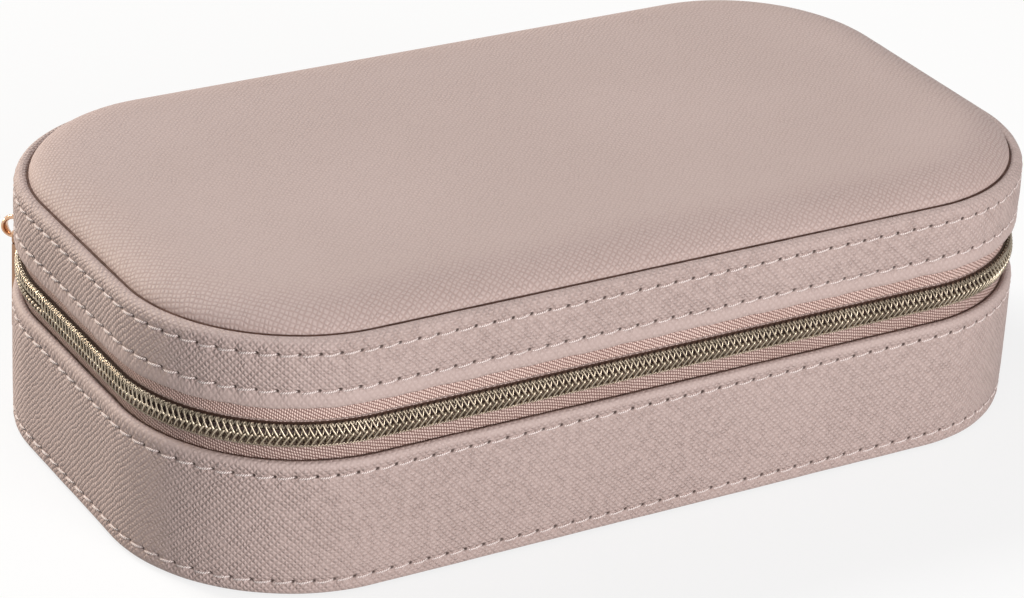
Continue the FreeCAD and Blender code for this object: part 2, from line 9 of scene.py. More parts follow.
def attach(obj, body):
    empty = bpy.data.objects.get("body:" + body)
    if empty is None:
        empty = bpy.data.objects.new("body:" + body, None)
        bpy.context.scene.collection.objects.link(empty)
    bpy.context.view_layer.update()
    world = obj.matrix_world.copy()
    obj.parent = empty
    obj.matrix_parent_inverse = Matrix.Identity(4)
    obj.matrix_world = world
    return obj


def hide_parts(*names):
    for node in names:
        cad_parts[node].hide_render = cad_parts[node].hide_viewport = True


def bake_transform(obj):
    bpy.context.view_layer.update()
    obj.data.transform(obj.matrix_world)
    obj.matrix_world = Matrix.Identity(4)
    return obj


# Zip-around jewelry box: the looks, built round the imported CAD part.
# Shapes are worked out in millimetres and go into Blender in metres, in the frame of the CAD part:
# origin at the centre of the flat bottom, +X right, +Y to the hinge at the back, +Z up.

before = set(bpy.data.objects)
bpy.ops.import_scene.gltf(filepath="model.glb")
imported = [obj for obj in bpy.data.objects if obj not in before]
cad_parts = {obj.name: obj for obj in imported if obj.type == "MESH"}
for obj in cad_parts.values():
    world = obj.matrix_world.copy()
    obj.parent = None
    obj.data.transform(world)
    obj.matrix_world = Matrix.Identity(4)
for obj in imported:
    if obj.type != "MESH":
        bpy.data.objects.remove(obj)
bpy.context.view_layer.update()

MM = 0.001
TURN = 2 * math.pi

# Outside of the base wall, seen from above
HALF_X, HALF_Y, CORNER = 100.0, 56.0, 37.0
LINE_X, LINE_Y = HALF_X - CORNER, HALF_Y - CORNER
QUARTER = CORNER * math.pi / 2
PERIMETER = 4 * (LINE_X + LINE_Y + QUARTER)

# Levels and insets that several pieces share
ZIP_LEVEL = 33.6
BASE_RIM = 28.2
LID_EDGE = 40.0
TAPE_OUT, TAPE_IN, BAND_IN = 2.2, 2.8, 3.0
PANEL_EDGE = 3.3

# Sewing
STITCHES = 142
STITCH_PITCH = PERIMETER / STITCHES
BASE_ROWS = (3.2, 25.4)
LID_ROWS = (43.0, 50.5)

# Spacing of the zip's turns
COIL_PITCH = 1.37

# Emboss of the leather: two crossed sets of grooves, counted round the case
GROOVES = 417


def outline(s):
    """Points and outward normals of the base outline at distances s from the middle of the back.

    The walk goes round by the left end, the front and the right end.
    """
    s = np.mod(np.asarray(s, float), PERIMETER)
    point, normal = np.zeros((len(s), 2)), np.zeros((len(s), 2))
    start = 0.0

    def line(length, a, n):
        nonlocal start
        here = (s >= start - 1e-9) & (s <= start + length + 1e-9)
        along = s[here] - start
        point[here] = np.array(a) + along[:, None] * np.array((-n[1], n[0]))
        normal[here] = n
        start += length

    def arc(cx, cy, first):
        nonlocal start
        here = (s >= start - 1e-9) & (s <= start + QUARTER + 1e-9)
        angle = first + (s[here] - start) / CORNER
        normal[here] = np.c_[np.cos(angle), np.sin(angle)]
        point[here] = np.array((cx, cy)) + CORNER * normal[here]
        start += QUARTER

    line(LINE_X, (0, HALF_Y), (0, 1))
    arc(-LINE_X, LINE_Y, math.pi / 2)
    line(2 * LINE_Y, (-HALF_X, LINE_Y), (-1, 0))
    arc(-LINE_X, -LINE_Y, math.pi)
    line(2 * LINE_X, (-LINE_X, -HALF_Y), (0, -1))
    arc(LINE_X, -LINE_Y, 1.5 * math.pi)
    line(2 * LINE_Y, (HALF_X, -LINE_Y), (1, 0))
    arc(LINE_X, LINE_Y, 0.0)
    line(LINE_X, (LINE_X, HALF_Y), (0, 1))
    return point, normal


def corner_s(angle, side=-1):
    """Distance along the outline of a place on a back corner, by its angle from the end wall."""
    s = LINE_X + CORNER * math.radians(90 - angle)
    return s if side < 0 else PERIMETER - s


def stations(first, last, step):
    """Distances along the outline with every joint of its lines and arcs among them."""
    joints, at = [0.0], 0.0
    for length in (LINE_X, QUARTER, 2 * LINE_Y, QUARTER, 2 * LINE_X, QUARTER, 2 * LINE_Y, QUARTER, LINE_X):
        at += length
        joints.append(at)
    marks = [first] + [j for j in joints if first + 1e-6 < j < last - 1e-6] + [last]
    values = []
    for a, b in zip(marks, marks[1:]):
        values.extend(np.linspace(a, b, max(1, math.ceil((b - a) / step)), endpoint=False))
    return np.array(values + [last])


def linked(name, data):
    """A new object in the scene."""
    obj = bpy.data.objects.new(name, data)
    bpy.context.scene.collection.objects.link(obj)
    return obj


def finish_mesh(name, verts, faces, material, uv=None, smooth_angle=40):
    """A mesh object from millimetre points; uv holds one pair per face corner, in millimetres."""
    mesh = bpy.data.meshes.new(name)
    mesh.from_pydata((np.asarray(verts, float) * MM).tolist(), [], [list(map(int, f)) for f in faces])
    if uv is not None:
        layer = mesh.uv_layers.new(name="strip")
        layer.data.foreach_set("uv", np.asarray(uv, np.float32).ravel())
    bm = bmesh.new()
    bm.from_mesh(mesh)
    bmesh.ops.recalc_face_normals(bm, faces=bm.faces)
    bm.to_mesh(mesh)
    bm.free()
    mesh.polygons.foreach_set("use_smooth", np.ones(len(mesh.polygons), bool))
    if smooth_angle:
        mesh.set_sharp_from_angle(angle=math.radians(smooth_angle))
    mesh.materials.append(material)
    return linked(name, mesh)


def grid_quads(rows, columns, wrap_rows, wrap_columns):
    """Corner indices of a grid of points, row by row."""
    r = np.arange(rows if wrap_rows else rows - 1)
    c = np.arange(columns if wrap_columns else columns - 1)
    r, c = (g.ravel() for g in np.meshgrid(r, c, indexing="ij"))
    r2, c2 = (r + 1) % rows, (c + 1) % columns
    return np.c_[r * columns + c, r2 * columns + c, r2 * columns + c2, r * columns + c2]


def through(points, steps=4):
    """A smooth open line through points, by centripetal spline."""

    def mix(t, a, b, low, high):
        return (high - t) / (high - low) * a + (t - low) / (high - low) * b

    p = np.asarray(points, float)
    p = np.vstack([2 * p[0] - p[1], p, 2 * p[-1] - p[-2]])
    made = []
    for a, b, c, d in zip(p, p[1:], p[2:], p[3:]):
        t0 = 0.0
        t1 = t0 + np.linalg.norm(b - a) ** 0.5
        t2 = t1 + np.linalg.norm(c - b) ** 0.5
        t3 = t2 + np.linalg.norm(d - c) ** 0.5
        for t in np.linspace(t1, t2, steps, endpoint=False):
            middle = mix(t, b, c, t1, t2)
            before = mix(t, mix(t, a, b, t0, t1), middle, t0, t2)
            after = mix(t, middle, mix(t, c, d, t2, t3), t1, t3)
            made.append(mix(t, before, after, t1, t2))
    return np.array(made + [p[-2]])


def sweep(name, profile, s, material, closed=True, relief=None, lift=None, v_zero=0):
    """A wall along the outline: profile is a closed line of (inset, level) points.

    relief(s, v) gives how far a point is pressed in, lift(s, level) how far it is raised; v runs along
    the profile and equals the level at the profile point number v_zero.
    """
    profile = np.asarray(profile, float)
    ring = np.vstack([profile, profile[:1]])
    v = np.r_[0, np.cumsum(np.linalg.norm(np.diff(ring, axis=0), axis=1))]
    v += profile[v_zero, 1] - v[v_zero]
    walk = s[:-1] if closed else s
    point, normal = outline(walk)
    rows, columns = len(walk), len(profile)
    inset = np.repeat(profile[None, :, 0], rows, 0)
    if relief is not None:
        inset = inset + relief(np.repeat(walk[:, None], columns, 1), np.repeat(v[None, :-1], rows, 0))
    xy = point[:, None, :] - inset[:, :, None] * normal[:, None, :]
    z = np.repeat(profile[None, :, 1], rows, 0)
    if lift is not None:
        z = z + lift(np.repeat(walk[:, None], columns, 1), z)
    verts = np.concatenate([xy, z[:, :, None]], axis=2).reshape(-1, 3)
    quads = grid_quads(rows, columns, closed, True)
    r, c = np.divmod(np.arange(len(quads)), columns)
    u0, u1 = s[r], s[r + 1]
    v0, v1 = v[c], v[c + 1]
    uv = np.stack([np.c_[u0, v0], np.c_[u1, v0], np.c_[u1, v1], np.c_[u0, v1]], axis=1).reshape(-1, 2)
    faces = quads.tolist()
    if not closed:
        for first in (0, (rows - 1) * columns):
            faces.append(list(range(first, first + columns)))
            uv = np.vstack([uv, np.c_[profile[:, 0], profile[:, 1]]])
    return finish_mesh(name, verts, faces, material, uv)


def tubes(name, paths, radii, material, sides=6, closed=False):
    """Round tubes along paths of points, all in one mesh; radii holds one radius per path point."""
    verts, faces, uv = [], [], []
    angles = np.linspace(0, TURN, sides, endpoint=False)
    base = 0
    for path, radius in zip(paths, radii):
        path = np.asarray(path, float)
        radius = np.broadcast_to(radius, len(path))
        if closed:
            tangent = np.roll(path, -1, 0) - np.roll(path, 1, 0)
        else:
            tangent = np.gradient(path, axis=0)
        tangent /= np.linalg.norm(tangent, axis=1)[:, None]
        side = np.cross(tangent[0], (0, 0, 1) if abs(tangent[0][2]) < 0.9 else (1, 0, 0))
        frames = []
        for t in tangent:
            side = side - t * (side @ t)
            side = side / np.linalg.norm(side)
            frames.append((side, np.cross(t, side)))
        a, b = (np.array(f) for f in zip(*frames))
        around = np.cos(angles)[None, :, None] * a[:, None] + np.sin(angles)[None, :, None] * b[:, None]
        verts.append((path[:, None] + radius[:, None, None] * around).reshape(-1, 3))
        quads = grid_quads(len(path), sides, closed, True) + base
        faces.extend(quads.tolist())
        length = np.r_[0, np.cumsum(np.linalg.norm(np.diff(path, axis=0), axis=1))]
        length = np.r_[length, length[-1] + np.linalg.norm(path[0] - path[-1])]
        r, c = np.divmod(np.arange(len(quads)), sides)
        turn = np.arange(sides + 1) / sides
        uv.append(np.stack([
            np.c_[length[r], turn[c]], np.c_[length[r + 1], turn[c]],
            np.c_[length[r + 1], turn[c + 1]], np.c_[length[r], turn[c + 1]],
        ], axis=1).reshape(-1, 2))
        if not closed:
            for first in (0, (len(path) - 1) * sides):
                faces.append(list(range(base + first, base + first + sides)))
                uv.append(np.zeros((sides, 2)))
        base += len(path) * sides
    return finish_mesh(name, np.vstack(verts), faces, material, np.vstack(uv), smooth_angle=None)


def on_wall(s, inset, level):
    """Points at distances s along the outline, behind it by inset."""
    point, normal = outline(s)
    return np.c_[point - np.broadcast_to(inset, len(s))[:, None] * normal, np.broadcast_to(level, len(s))]


class Graph:
    """Nodes of a material or world, wired by small calls that return sockets."""

    def __init__(self, name, library=None):
        self.owner = (bpy.data.materials if library is None else library).new(name)
        self.owner.use_nodes = True
        self.tree = self.owner.node_tree
        self.shader = next(n for n in self.tree.nodes if n.type in ("BSDF_PRINCIPLED", "BACKGROUND"))

    def node(self, kind, inputs=None, **settings):
        made = self.tree.nodes.new(kind)
        for key, value in settings.items():
            setattr(made, key, value)
        for key, value in (inputs or {}).items():
            self.set(made.inputs[key], value)
        return made

    def set(self, socket, value):
        if isinstance(value, bpy.types.NodeSocket):
            self.tree.links.new(value, socket)
        else:
            socket.default_value = value

    def math(self, operation, *values):
        made = self.node("ShaderNodeMath", operation=operation)
        for socket, value in zip(made.inputs, values):
            self.set(socket, value)
        return made.outputs[0]

    def add(self, a, b):
        return self.math("ADD", a, b)

    def sub(self, a, b):
        return self.math("SUBTRACT", a, b)

    def mul(self, a, b):
        return self.math("MULTIPLY", a, b)

    def wave(self, phase):
        """From 0 to 1 and back, once for each whole step of the phase, highest at whole numbers."""
        return self.math("MULTIPLY_ADD", self.math("COSINE", self.mul(phase, TURN)), 0.5, 0.5)

    def ramp(self, value, low, high, to_low=0.0, to_high=1.0, smooth=True):
        made = self.node("ShaderNodeMapRange",
                         {"From Min": low, "From Max": high, "To Min": to_low, "To Max": to_high},
                         interpolation_type="SMOOTHSTEP" if smooth else "LINEAR")
        self.set(made.inputs["Value"], value)
        return made.outputs["Result"]

    def strip(self):
        made = self.node("ShaderNodeUVMap", uv_map="strip")
        split = self.node("ShaderNodeSeparateXYZ", {"Vector": made.outputs["UV"]})
        return split.outputs["X"], split.outputs["Y"]

    def place(self):
        """Where the point is in the part's frame, in millimetres."""
        place = self.node("ShaderNodeTexCoord").outputs["Object"]
        split = self.node("ShaderNodeSeparateXYZ", {"Vector": place})
        return [self.mul(split.outputs[axis], 1000.0) for axis in "XYZ"]

    def noise(self, scale, detail=2.0, rough=0.5):
        """Even noise over the object, with about one feature per 1 / scale metres."""
        place = self.node("ShaderNodeTexCoord").outputs["Object"]
        made = self.node("ShaderNodeTexNoise",
                         {"Vector": place, "Scale": scale, "Detail": detail, "Roughness": rough})
        return made.outputs["Fac"]

    def sway(self, scale, reach):
        """Noise that shifts a pattern to and fro, by half of reach at most."""
        return self.mul(self.sub(self.noise(scale, 1.0), 0.5), reach)

    def colour(self, factor, dark, light):
        made = self.node("ShaderNodeMix", data_type="RGBA")
        self.set(made.inputs["Factor"], factor)
        for socket, value in ((made.inputs[6], dark), (made.inputs[7], light)):
            if isinstance(value, tuple):
                value = (*value, 1.0)
            self.set(socket, value)
        return made.outputs[2]

    def bump(self, height, distance, strength=1.0, normal=None):
        made = self.node("ShaderNodeBump", {"Height": height, "Distance": distance, "Strength": strength})
        if normal is not None:
            self.set(made.inputs["Normal"], normal)
        return made.outputs["Normal"]

    def seen(self):
        """1 for rays that show the surroundings, 0 for rays that light the object."""
        path = self.node("ShaderNodeLightPath")
        shown = self.math("MAXIMUM", path.outputs["Is Camera Ray"], path.outputs["Is Glossy Ray"])
        return self.math("MAXIMUM", shown, path.outputs["Is Transmission Ray"])

    def finish(self, **inputs):
        for key, value in inputs.items():
            if isinstance(value, tuple):
                value = (*value, 1.0)
            self.set(self.shader.inputs[key.replace("_", " ").title().replace("Ior", "IOR")], value)
        return self.owner


# Leather colours: the light pair on the bumps, the dark pair painted into the grooves as shade
LEATHER_LIGHT = ((0.490, 0.381, 0.354), (0.514, 0.401, 0.374))
LEATHER_GROOVE_SHADE = ((0.370, 0.266, 0.238), (0.392, 0.284, 0.256))
NEEDLE_HOLE_SHADE = (0.050, 0.027, 0.021)
HOLE_LONG, HOLE_WIDE, HOLE_RISE = 0.52, 0.44, 0.14


def leather(name, rows=(), smooth_bands=(), depth=0.34, groove_shade=1.0, crown=False):
    """Cross-grain leather: a lattice of raised bumps between two crossed sets of grooves.

    rows are the levels of stitch rows, their needle holes painted dark as shade; smooth_bands (low, high,
    share of the emboss that is left).
    The grooves are painted darker as shade. On the crown of the lid the emboss is stretched almost smooth,
    apart from its sewn edge, and towards that edge its colour is painted darker as shade.
    """
    g = Graph(name)
    u, v = g.strip()
    loose = 1.1 if crown else 0.8
    wu = g.add(u, g.add(g.sway(130, 0.9), g.sway(430, loose)))
    wv = g.add(v, g.add(g.sway(90, 0.9), g.sway(380, loose)))
    if crown:
        wu = g.sub(wu, g.mul(wv, 0.1))
    pitch = PERIMETER / GROOVES
    rising = g.math("POWER", g.wave(g.mul(g.sub(wu, wv), 1 / pitch)), 0.85)
    falling = g.math("POWER", g.wave(g.mul(g.add(wu, wv), 1 / pitch)), 0.85)
    height = g.math("SMOOTH_MIN", rising, falling, 0.25)
    kept = g.mul(g.ramp(g.noise(60, 2.0), 0.35, 0.65, 0.85, 1.0),
                 g.ramp(g.noise(680, 1.0), 0.3, 0.7, 0.50, 0.95))
    level = 0.53
    for low, high, share in smooth_bands:
        into = g.mul(g.ramp(v, low - 0.5, low + 0.5), g.ramp(v, high - 0.5, high + 0.5, 1.0, 0.0))
        kept = g.mul(kept, g.ramp(into, 0.0, 1.0, 1.0, share, smooth=False))
    if crown:
        x, y, _ = g.place()
        out_x = g.math("MAXIMUM", g.sub(g.math("ABSOLUTE", x), LINE_X), 0.0)
        out_y = g.math("MAXIMUM", g.sub(g.math("ABSOLUTE", y), LINE_Y), 0.0)
        reach = g.math("SQRT", g.add(g.mul(out_x, out_x), g.mul(out_y, out_y)))
        seam = CORNER - PANEL_EDGE
        kept = g.mul(kept, g.ramp(reach, seam - 10.0, seam - 1.5, 0.80, 1.35))
        # Painted shade: a lower level towards the seam darkens the crown's colour through the groove shade
        level = g.ramp(reach, seam - 16.0, seam - 2.0, 0.60, 0.40)
    relief = g.add(level, g.mul(g.sub(height, 0.33), kept))
    grain = g.noise(2600, 2.0, 0.6)
    fine = g.bump(grain, 0.00002, 0.6)
    normal = g.bump(relief, depth * MM, 1.0, fine)

    tone = g.ramp(g.noise(22, 3.0), 0.3, 0.7)
    light, dark = g.colour(tone, *LEATHER_LIGHT), g.colour(tone, *LEATHER_GROOVE_SHADE)
    # Painted shade: the grooves are darkened towards the dark colour
    base = g.colour(g.ramp(relief, 0.05, 0.7, 1.0 - groove_shade, 1.0), dark, light)
    shade = None
    # Painted shade: a dark spot at each needle hole of the stitch rows
    for row in rows:
        along = g.mul(g.math("PINGPONG", u, STITCH_PITCH / 2), 1 / HOLE_LONG)
        across = g.mul(g.sub(v, row + HOLE_RISE), 1 / HOLE_WIDE)
        reach = g.math("SQRT", g.add(g.mul(along, along), g.mul(across, across)))
        spot = g.ramp(reach, 0.55, 1.15, 1.0, 0.0)
        shade = spot if shade is None else g.math("MAXIMUM", shade, spot)
    if shade is not None:
        base = g.colour(g.mul(shade, 0.94), base, NEEDLE_HOLE_SHADE)
    rough = g.ramp(g.add(relief, g.mul(grain, 0.3)), 0.2, 1.3, 0.70, 0.52)
    return g.finish(base_color=base, roughness=rough, normal=normal)


RIB_PITCH, THREAD_PITCH = 0.62, 0.58
TAPE_PALE = ((0.76, 0.560, 0.508), (0.87, 0.665, 0.608))
TAPE_GAP_SHADE = (0.21, 0.118, 0.096)


def tape_weave(name, apex, upward, slope, shade):
    """Woven zip tape: ribs of short raised threads that fall by slope, and turn back at the level apex."""
    g = Graph(name)
    u, v = g.strip()
    wander = g.add(g.sway(160, 0.45), g.sway(900, 0.42))
    away = g.mul(g.sub(v, apex), upward)
    near = g.ramp(away, -0.12, 0.12, 1.0, 0.0)
    rise = g.add(g.sub(v, apex), wander)
    scale = 1 / (RIB_PITCH * math.hypot(1.0, slope))
    far_step = g.mul(g.add(rise, g.mul(u, slope)), scale)
    near_step = g.mul(g.sub(rise, g.mul(u, slope)), scale)
    step = g.add(g.mul(near_step, near), g.mul(far_step, g.sub(1.0, near)))
    along = g.mul(g.sub(u, g.mul(rise, slope)), 1 / THREAD_PITCH)
    thread = g.wave(g.add(g.add(along, g.mul(step, 0.5)), g.sway(420, 0.9)))
    rib = g.math("POWER", g.wave(step), 0.6)
    height = g.mul(rib, g.math("MULTIPLY_ADD", thread, 0.85, 0.15))
    fuzz = g.noise(3200, 2.0, 0.6)
    normal = g.bump(g.add(height, g.mul(fuzz, 0.2)), 0.00013)
    tone = g.ramp(g.noise(40, 2.0), 0.3, 0.7)
    # shade scales the whole colour: painted light above 1, painted shade below 1
    light = g.colour(tone, *(tuple(c * shade for c in pale) for pale in TAPE_PALE))
    # Painted shade: the gaps between ribs are darkened towards the deep colour
    base = g.colour(g.ramp(height, 0.05, 0.75), tuple(c * shade for c in TAPE_GAP_SHADE), light)
    return g.finish(base_color=base, roughness=g.ramp(height, 0.0, 1.0, 0.8, 0.5), normal=normal,
                    sheen_weight=0.15, sheen_roughness=0.4)


def metal(name, dark, light, rough):
    """Plated metal with faint colour and polish variation."""
    g = Graph(name)
    tone = g.ramp(g.noise(150, 2.0), 0.3, 0.7)
    wear = g.noise(900, 3.0, 0.6)
    normal = g.bump(wear, 0.000006, 0.5)
    return g.finish(base_color=g.colour(tone, dark, light), metallic=1.0,
                    roughness=g.ramp(wear, 0.25, 0.75, rough * 0.8, rough * 1.25), normal=normal)


def selvedge_shade(name, dark, light, bare):
    """Painted shade under a coil: a dark strip on the tape edge, with the crossing threads that sew it down,
    up to the level bare.
    """
    g = Graph(name)
    u, v = g.strip()
    rising = g.wave(g.add(g.mul(u, 2 / COIL_PITCH), g.mul(v, 0.8)))
    falling = g.wave(g.sub(g.mul(u, 2 / COIL_PITCH), g.mul(v, 0.8)))
    thread = g.math("MAXIMUM", g.math("POWER", rising, 3.0), g.math("POWER", falling, 3.0))
    thread = g.mul(thread, g.ramp(g.noise(700, 1.0), 0.3, 0.6, 0.5, 1.0))
    thread = g.mul(thread, g.ramp(v, bare - 0.3, bare, 1.0, 0.0))
    return g.finish(base_color=g.colour(thread, dark, light), roughness=g.ramp(thread, 0.0, 1.0, 0.85, 0.5),
                    normal=g.bump(thread, 0.00012), specular_ior_level=0.3)


def cloth_thread(name, dark, light):
    """Sewing thread, with the twist of its plies, painted darker as shade in the grooves between them."""
    g = Graph(name)
    u, turn = g.strip()
    ply = g.wave(g.add(g.mul(u, 1 / 0.45), g.mul(turn, 2.0)))
    normal = g.bump(ply, 0.00005)
    return g.finish(base_color=g.colour(g.ramp(ply, 0.0, 0.8), dark, light),
                    roughness=g.ramp(ply, 0.0, 1.0, 0.7, 0.5), normal=normal, sheen_weight=0.2)


def velvet(name, dark, light):
    """Short-pile velvet with brushed patches."""
    g = Graph(name)
    brushed = g.ramp(g.noise(35, 3.0, 0.55), 0.3, 0.7)
    pile = g.noise(5200, 2.0, 0.7)
    clumps = g.noise(900, 2.0, 0.5)
    height = g.add(g.mul(pile, 0.6), g.mul(clumps, 0.4))
    base = g.colour(g.ramp(g.add(g.mul(brushed, 0.3), g.mul(height, 0.7)), 0.2, 0.8), dark, light)
    return g.finish(base_color=base, roughness=g.ramp(pile, 0.2, 0.8, 0.95, 0.78),
                    normal=g.bump(height, 0.0001, 0.8), sheen_weight=0.55, sheen_roughness=0.35,
                    sheen_tint=(1.0, 0.93, 0.90))


def plain(name, dark, light, scale, rough=0.9, bump=0.00005, shine=0.5):
    """Board, foam, or dark edge paint that also stands in for shade: mottled, matt."""
    g = Graph(name)
    grain = g.noise(scale, 3.0, 0.6)
    return g.finish(base_color=g.colour(g.ramp(grain, 0.3, 0.7), dark, light),
                    roughness=g.ramp(grain, 0.3, 0.7, rough, rough - 0.1), normal=g.bump(grain, bump),
                    specular_ior_level=shine)


def mirror_glass():
    """Silvered glass with faint cloudy patches."""
    g = Graph("silvered_glass")
    haze = g.noise(45, 3.0, 0.55)
    silver = g.colour(g.ramp(haze, 0.3, 0.7), (0.875, 0.895, 0.895), (0.90, 0.92, 0.92))
    return g.finish(base_color=silver, metallic=1.0, roughness=g.ramp(haze, 0.3, 0.8, 0.010, 0.022))


LEATHER_BASE = leather("leather_base", rows=BASE_ROWS, smooth_bands=((27.1, 40.0, 0.40), (-9.0, 1.6, 0.6)))
LEATHER_LID = leather("leather_lid", rows=LID_ROWS, smooth_bands=((52.6, 70.0, 0.75), (20.0, 42.2, 0.40)))
LEATHER_TOP = leather("leather_top", depth=0.11, groove_shade=0.8, crown=True)
LEATHER_PLAIN = leather("leather_plain")
LEATHER_PIPING = leather("leather_piping", depth=0.04, groove_shade=0.3)
# One tape in two halves: the upper half is painted lighter and the lower half darker, as light and shade
TAPE_UPPER = tape_weave("tape_upper", 36.3, 1.0, 0.54, 1.13)
TAPE_LOWER = tape_weave("tape_lower", 30.9, -1.0, 0.26, 0.89)
COIL = metal("coil_metal", (0.350, 0.294, 0.222), (0.450, 0.380, 0.294), 0.28)
ROSE = metal("rose_gold", (0.60, 0.365, 0.225), (0.70, 0.440, 0.285), 0.16)
# The pull tab is the same rose gold, painted darker for the shade it hangs in
ROSE_SHADED = metal("pull_rose_shaded", (0.33, 0.190, 0.122), (0.41, 0.245, 0.160), 0.26)
COIL_THREAD = metal("coil_thread", (0.40, 0.336, 0.256), (0.52, 0.440, 0.342), 0.30)
# The thread is one colour: its darker tone is painted shade between the plies
THREAD = cloth_thread("sewing_thread", (0.43, 0.325, 0.300), (0.94, 0.840, 0.810))
# Dark edge paint, also standing in for shade: on the base lip it darkens the crevice against the tape, in the
# top's seam it fills the groove
EDGE_PAINT_AND_SHADE = plain("edge_paint_and_shade", (0.070, 0.034, 0.025), (0.125, 0.066, 0.050), 300, rough=0.75, bump=0.00002,
             shine=0.2)
# Painted shade behind the coils, with their sewing threads: the upper strip darker and bare of threads at its
# top, the lower lighter
COIL_BED_SHADE = selvedge_shade("coil_bed_shade", (0.050, 0.024, 0.016), (0.230, 0.180, 0.136), 35.70)
COIL_BED_LOWER_SHADE = selvedge_shade("coil_bed_lower_shade", (0.085, 0.050, 0.036), (0.370, 0.292, 0.222), 40.0)
VELVET = velvet("velvet_lining", (0.50, 0.365, 0.345), (0.66, 0.505, 0.475))
VELVET_ROLL = velvet("velvet_roll", (0.53, 0.39, 0.365), (0.70, 0.54, 0.505))
BOARD = plain("greyboard", (0.42, 0.36, 0.29), (0.52, 0.45, 0.37), 400)
FOAM = plain("foam", (0.74, 0.70, 0.65), (0.84, 0.80, 0.75), 700)
GLASS = mirror_glass()


def dress(obj, body, slot, *nodes):
    """A piece rides on a body and stands for CAD nodes, which it hides; slot is not used."""
    if nodes:
        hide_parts(*nodes)
    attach(obj, body)
    return obj


def sewn_relief(rows, waves, hem=None):
    """Press-in of a sewn wall: a needle hole at each stitch end, puckers beside the rows, slow waves."""

    def relief(s, v):
        beside = np.abs(np.mod(s / STITCH_PITCH + 0.5, 1.0) - 0.5) * STITCH_PITCH
        depth = np.zeros_like(s)
        for row in rows:
            depth += 0.36 * np.exp(-((beside / 0.40) ** 2) - ((v - row - 0.08) / 0.36) ** 2)
            away = np.abs(v - row)
            depth += 0.07 * np.cos(TURN * s / STITCH_PITCH) * np.exp(-(((away - 1.0) / 0.8) ** 2))
        for count, phase, size, lean in waves:
            depth += size * np.sin(TURN * (count * s / PERIMETER + v / lean) + phase)
        if hem is not None:
            crease = np.sin(TURN * 300 * s / PERIMETER + 2 * np.sin(TURN * 17 * s / PERIMETER) + 0.7 * v)
            gather = 0.5 + 0.5 * np.sin(TURN * 5 * s / PERIMETER + 0.4)
            depth += 0.05 * crease * gather * np.exp(-(((v - hem) / 1.0) ** 2))
        return depth

    return relief


SEWN = np.linspace(0, PERIMETER, STITCHES * 8 + 1)


def end_share(s):
    """1 at the middle of the left end, falling to 0 where its corners meet the front and the back."""
    middle = LINE_X + QUARTER + LINE_Y
    return np.clip(1.25 - np.abs(s - middle) / (LINE_Y + QUARTER) * 1.25, 0, 1)


def rim_lift(s, level):
    """The soft rim of the base stands a little higher at the left end."""
    return 0.85 * end_share(s) * np.clip((level - 25.9) / 2.0, 0, 1)


def hem_lift(s, level):
    """The lid's hem hangs below its board, lowest at the left end, with small waves."""
    wave = 0.08 * np.sin(TURN * 41 * s / PERIMETER) + 0.05 * np.sin(TURN * 97 * s / PERIMETER + 1.0)
    return -(0.45 + 0.5 * end_share(s) + wave) * np.clip((42.3 - level) / 1.8, 0, 1)


def base_leather():
    outer = through([
        (2.15, 0.30), (1.30, 0.30), (0.45, 0.60), (0.10, 1.45), (0.10, 2.40), (0.32, 3.20), (0.11, 4.00),
        (0.01, 5.60), (-0.05, 14.0), (0.0, 23.0), (0.10, 24.60), (0.32, 25.40), (0.09, 26.20),
        (0.04, 27.05), (0.40, 27.87), (1.12, 28.20), (1.82, 27.90), (2.14, 27.36),
    ], 3)
    inner = [(0.85, 27.35), (0.85, 1.15), (2.15, 1.15)]
    level = int(np.argmin(np.abs(outer[:, 1] - 14.0)))
    waves = ((9, 0.4, 0.03, 90), (23, 1.3, 0.02, -60), (51, 2.2, 0.012, 40))
    wall = sweep("base_wall_leather", np.vstack([outer, inner]), SEWN, LEATHER_BASE,
                 relief=sewn_relief(BASE_ROWS, waves), lift=rim_lift, v_zero=level)
    dress(wall, "base", "pink_leather", "base_wall_cover")
    # A dark cord round the lip: edge paint, and painted shade in the crevice against the tape
    lip = np.linspace(0, PERIMETER, 600, endpoint=False)
    rise = 27.95 + rim_lift(lip, 28.0) + 0.05 * np.sin(lip * 1.1) * np.sin(lip * 0.37)
    edge = tubes("base_lip_edge_and_shade", [on_wall(lip, 2.06, rise)], [0.10], EDGE_PAINT_AND_SHADE, closed=True)
    dress(edge, "base", "pink_leather")


def lid_leather():
    outer = through([
        (2.14, 40.55), (1.85, 40.12), (1.25, 40.0), (0.72, 40.16), (0.44, 40.75), (0.42, 41.6), (0.50, 42.3),
        (0.70, 43.0), (0.50, 43.7), (0.40, 44.8), (0.36, 46.8), (0.40, 48.8), (0.50, 49.75), (0.72, 50.5),
        (0.52, 51.2), (0.50, 51.95), (0.86, 52.85), (1.65, 53.40), (2.45, 53.42), (3.02, 53.02), (3.10, 52.66),
    ], 3)
    inner = [(1.25, 52.65), (1.25, 44.9), (2.15, 44.9)]
    level = int(np.argmin(np.abs(outer[:, 1] - 46.8)))
    waves = ((11, 0.9, 0.025, 70), (29, 2.0, 0.018, -45), (67, 0.3, 0.014, 25))
    wall = sweep("lid_wall_leather", np.vstack([outer, inner]), SEWN, LEATHER_LID,
                 relief=sewn_relief(LID_ROWS, waves, hem=41.3), lift=hem_lift, v_zero=level)
    dress(wall, "lid", "pink_leather", "lid_wall_cover")


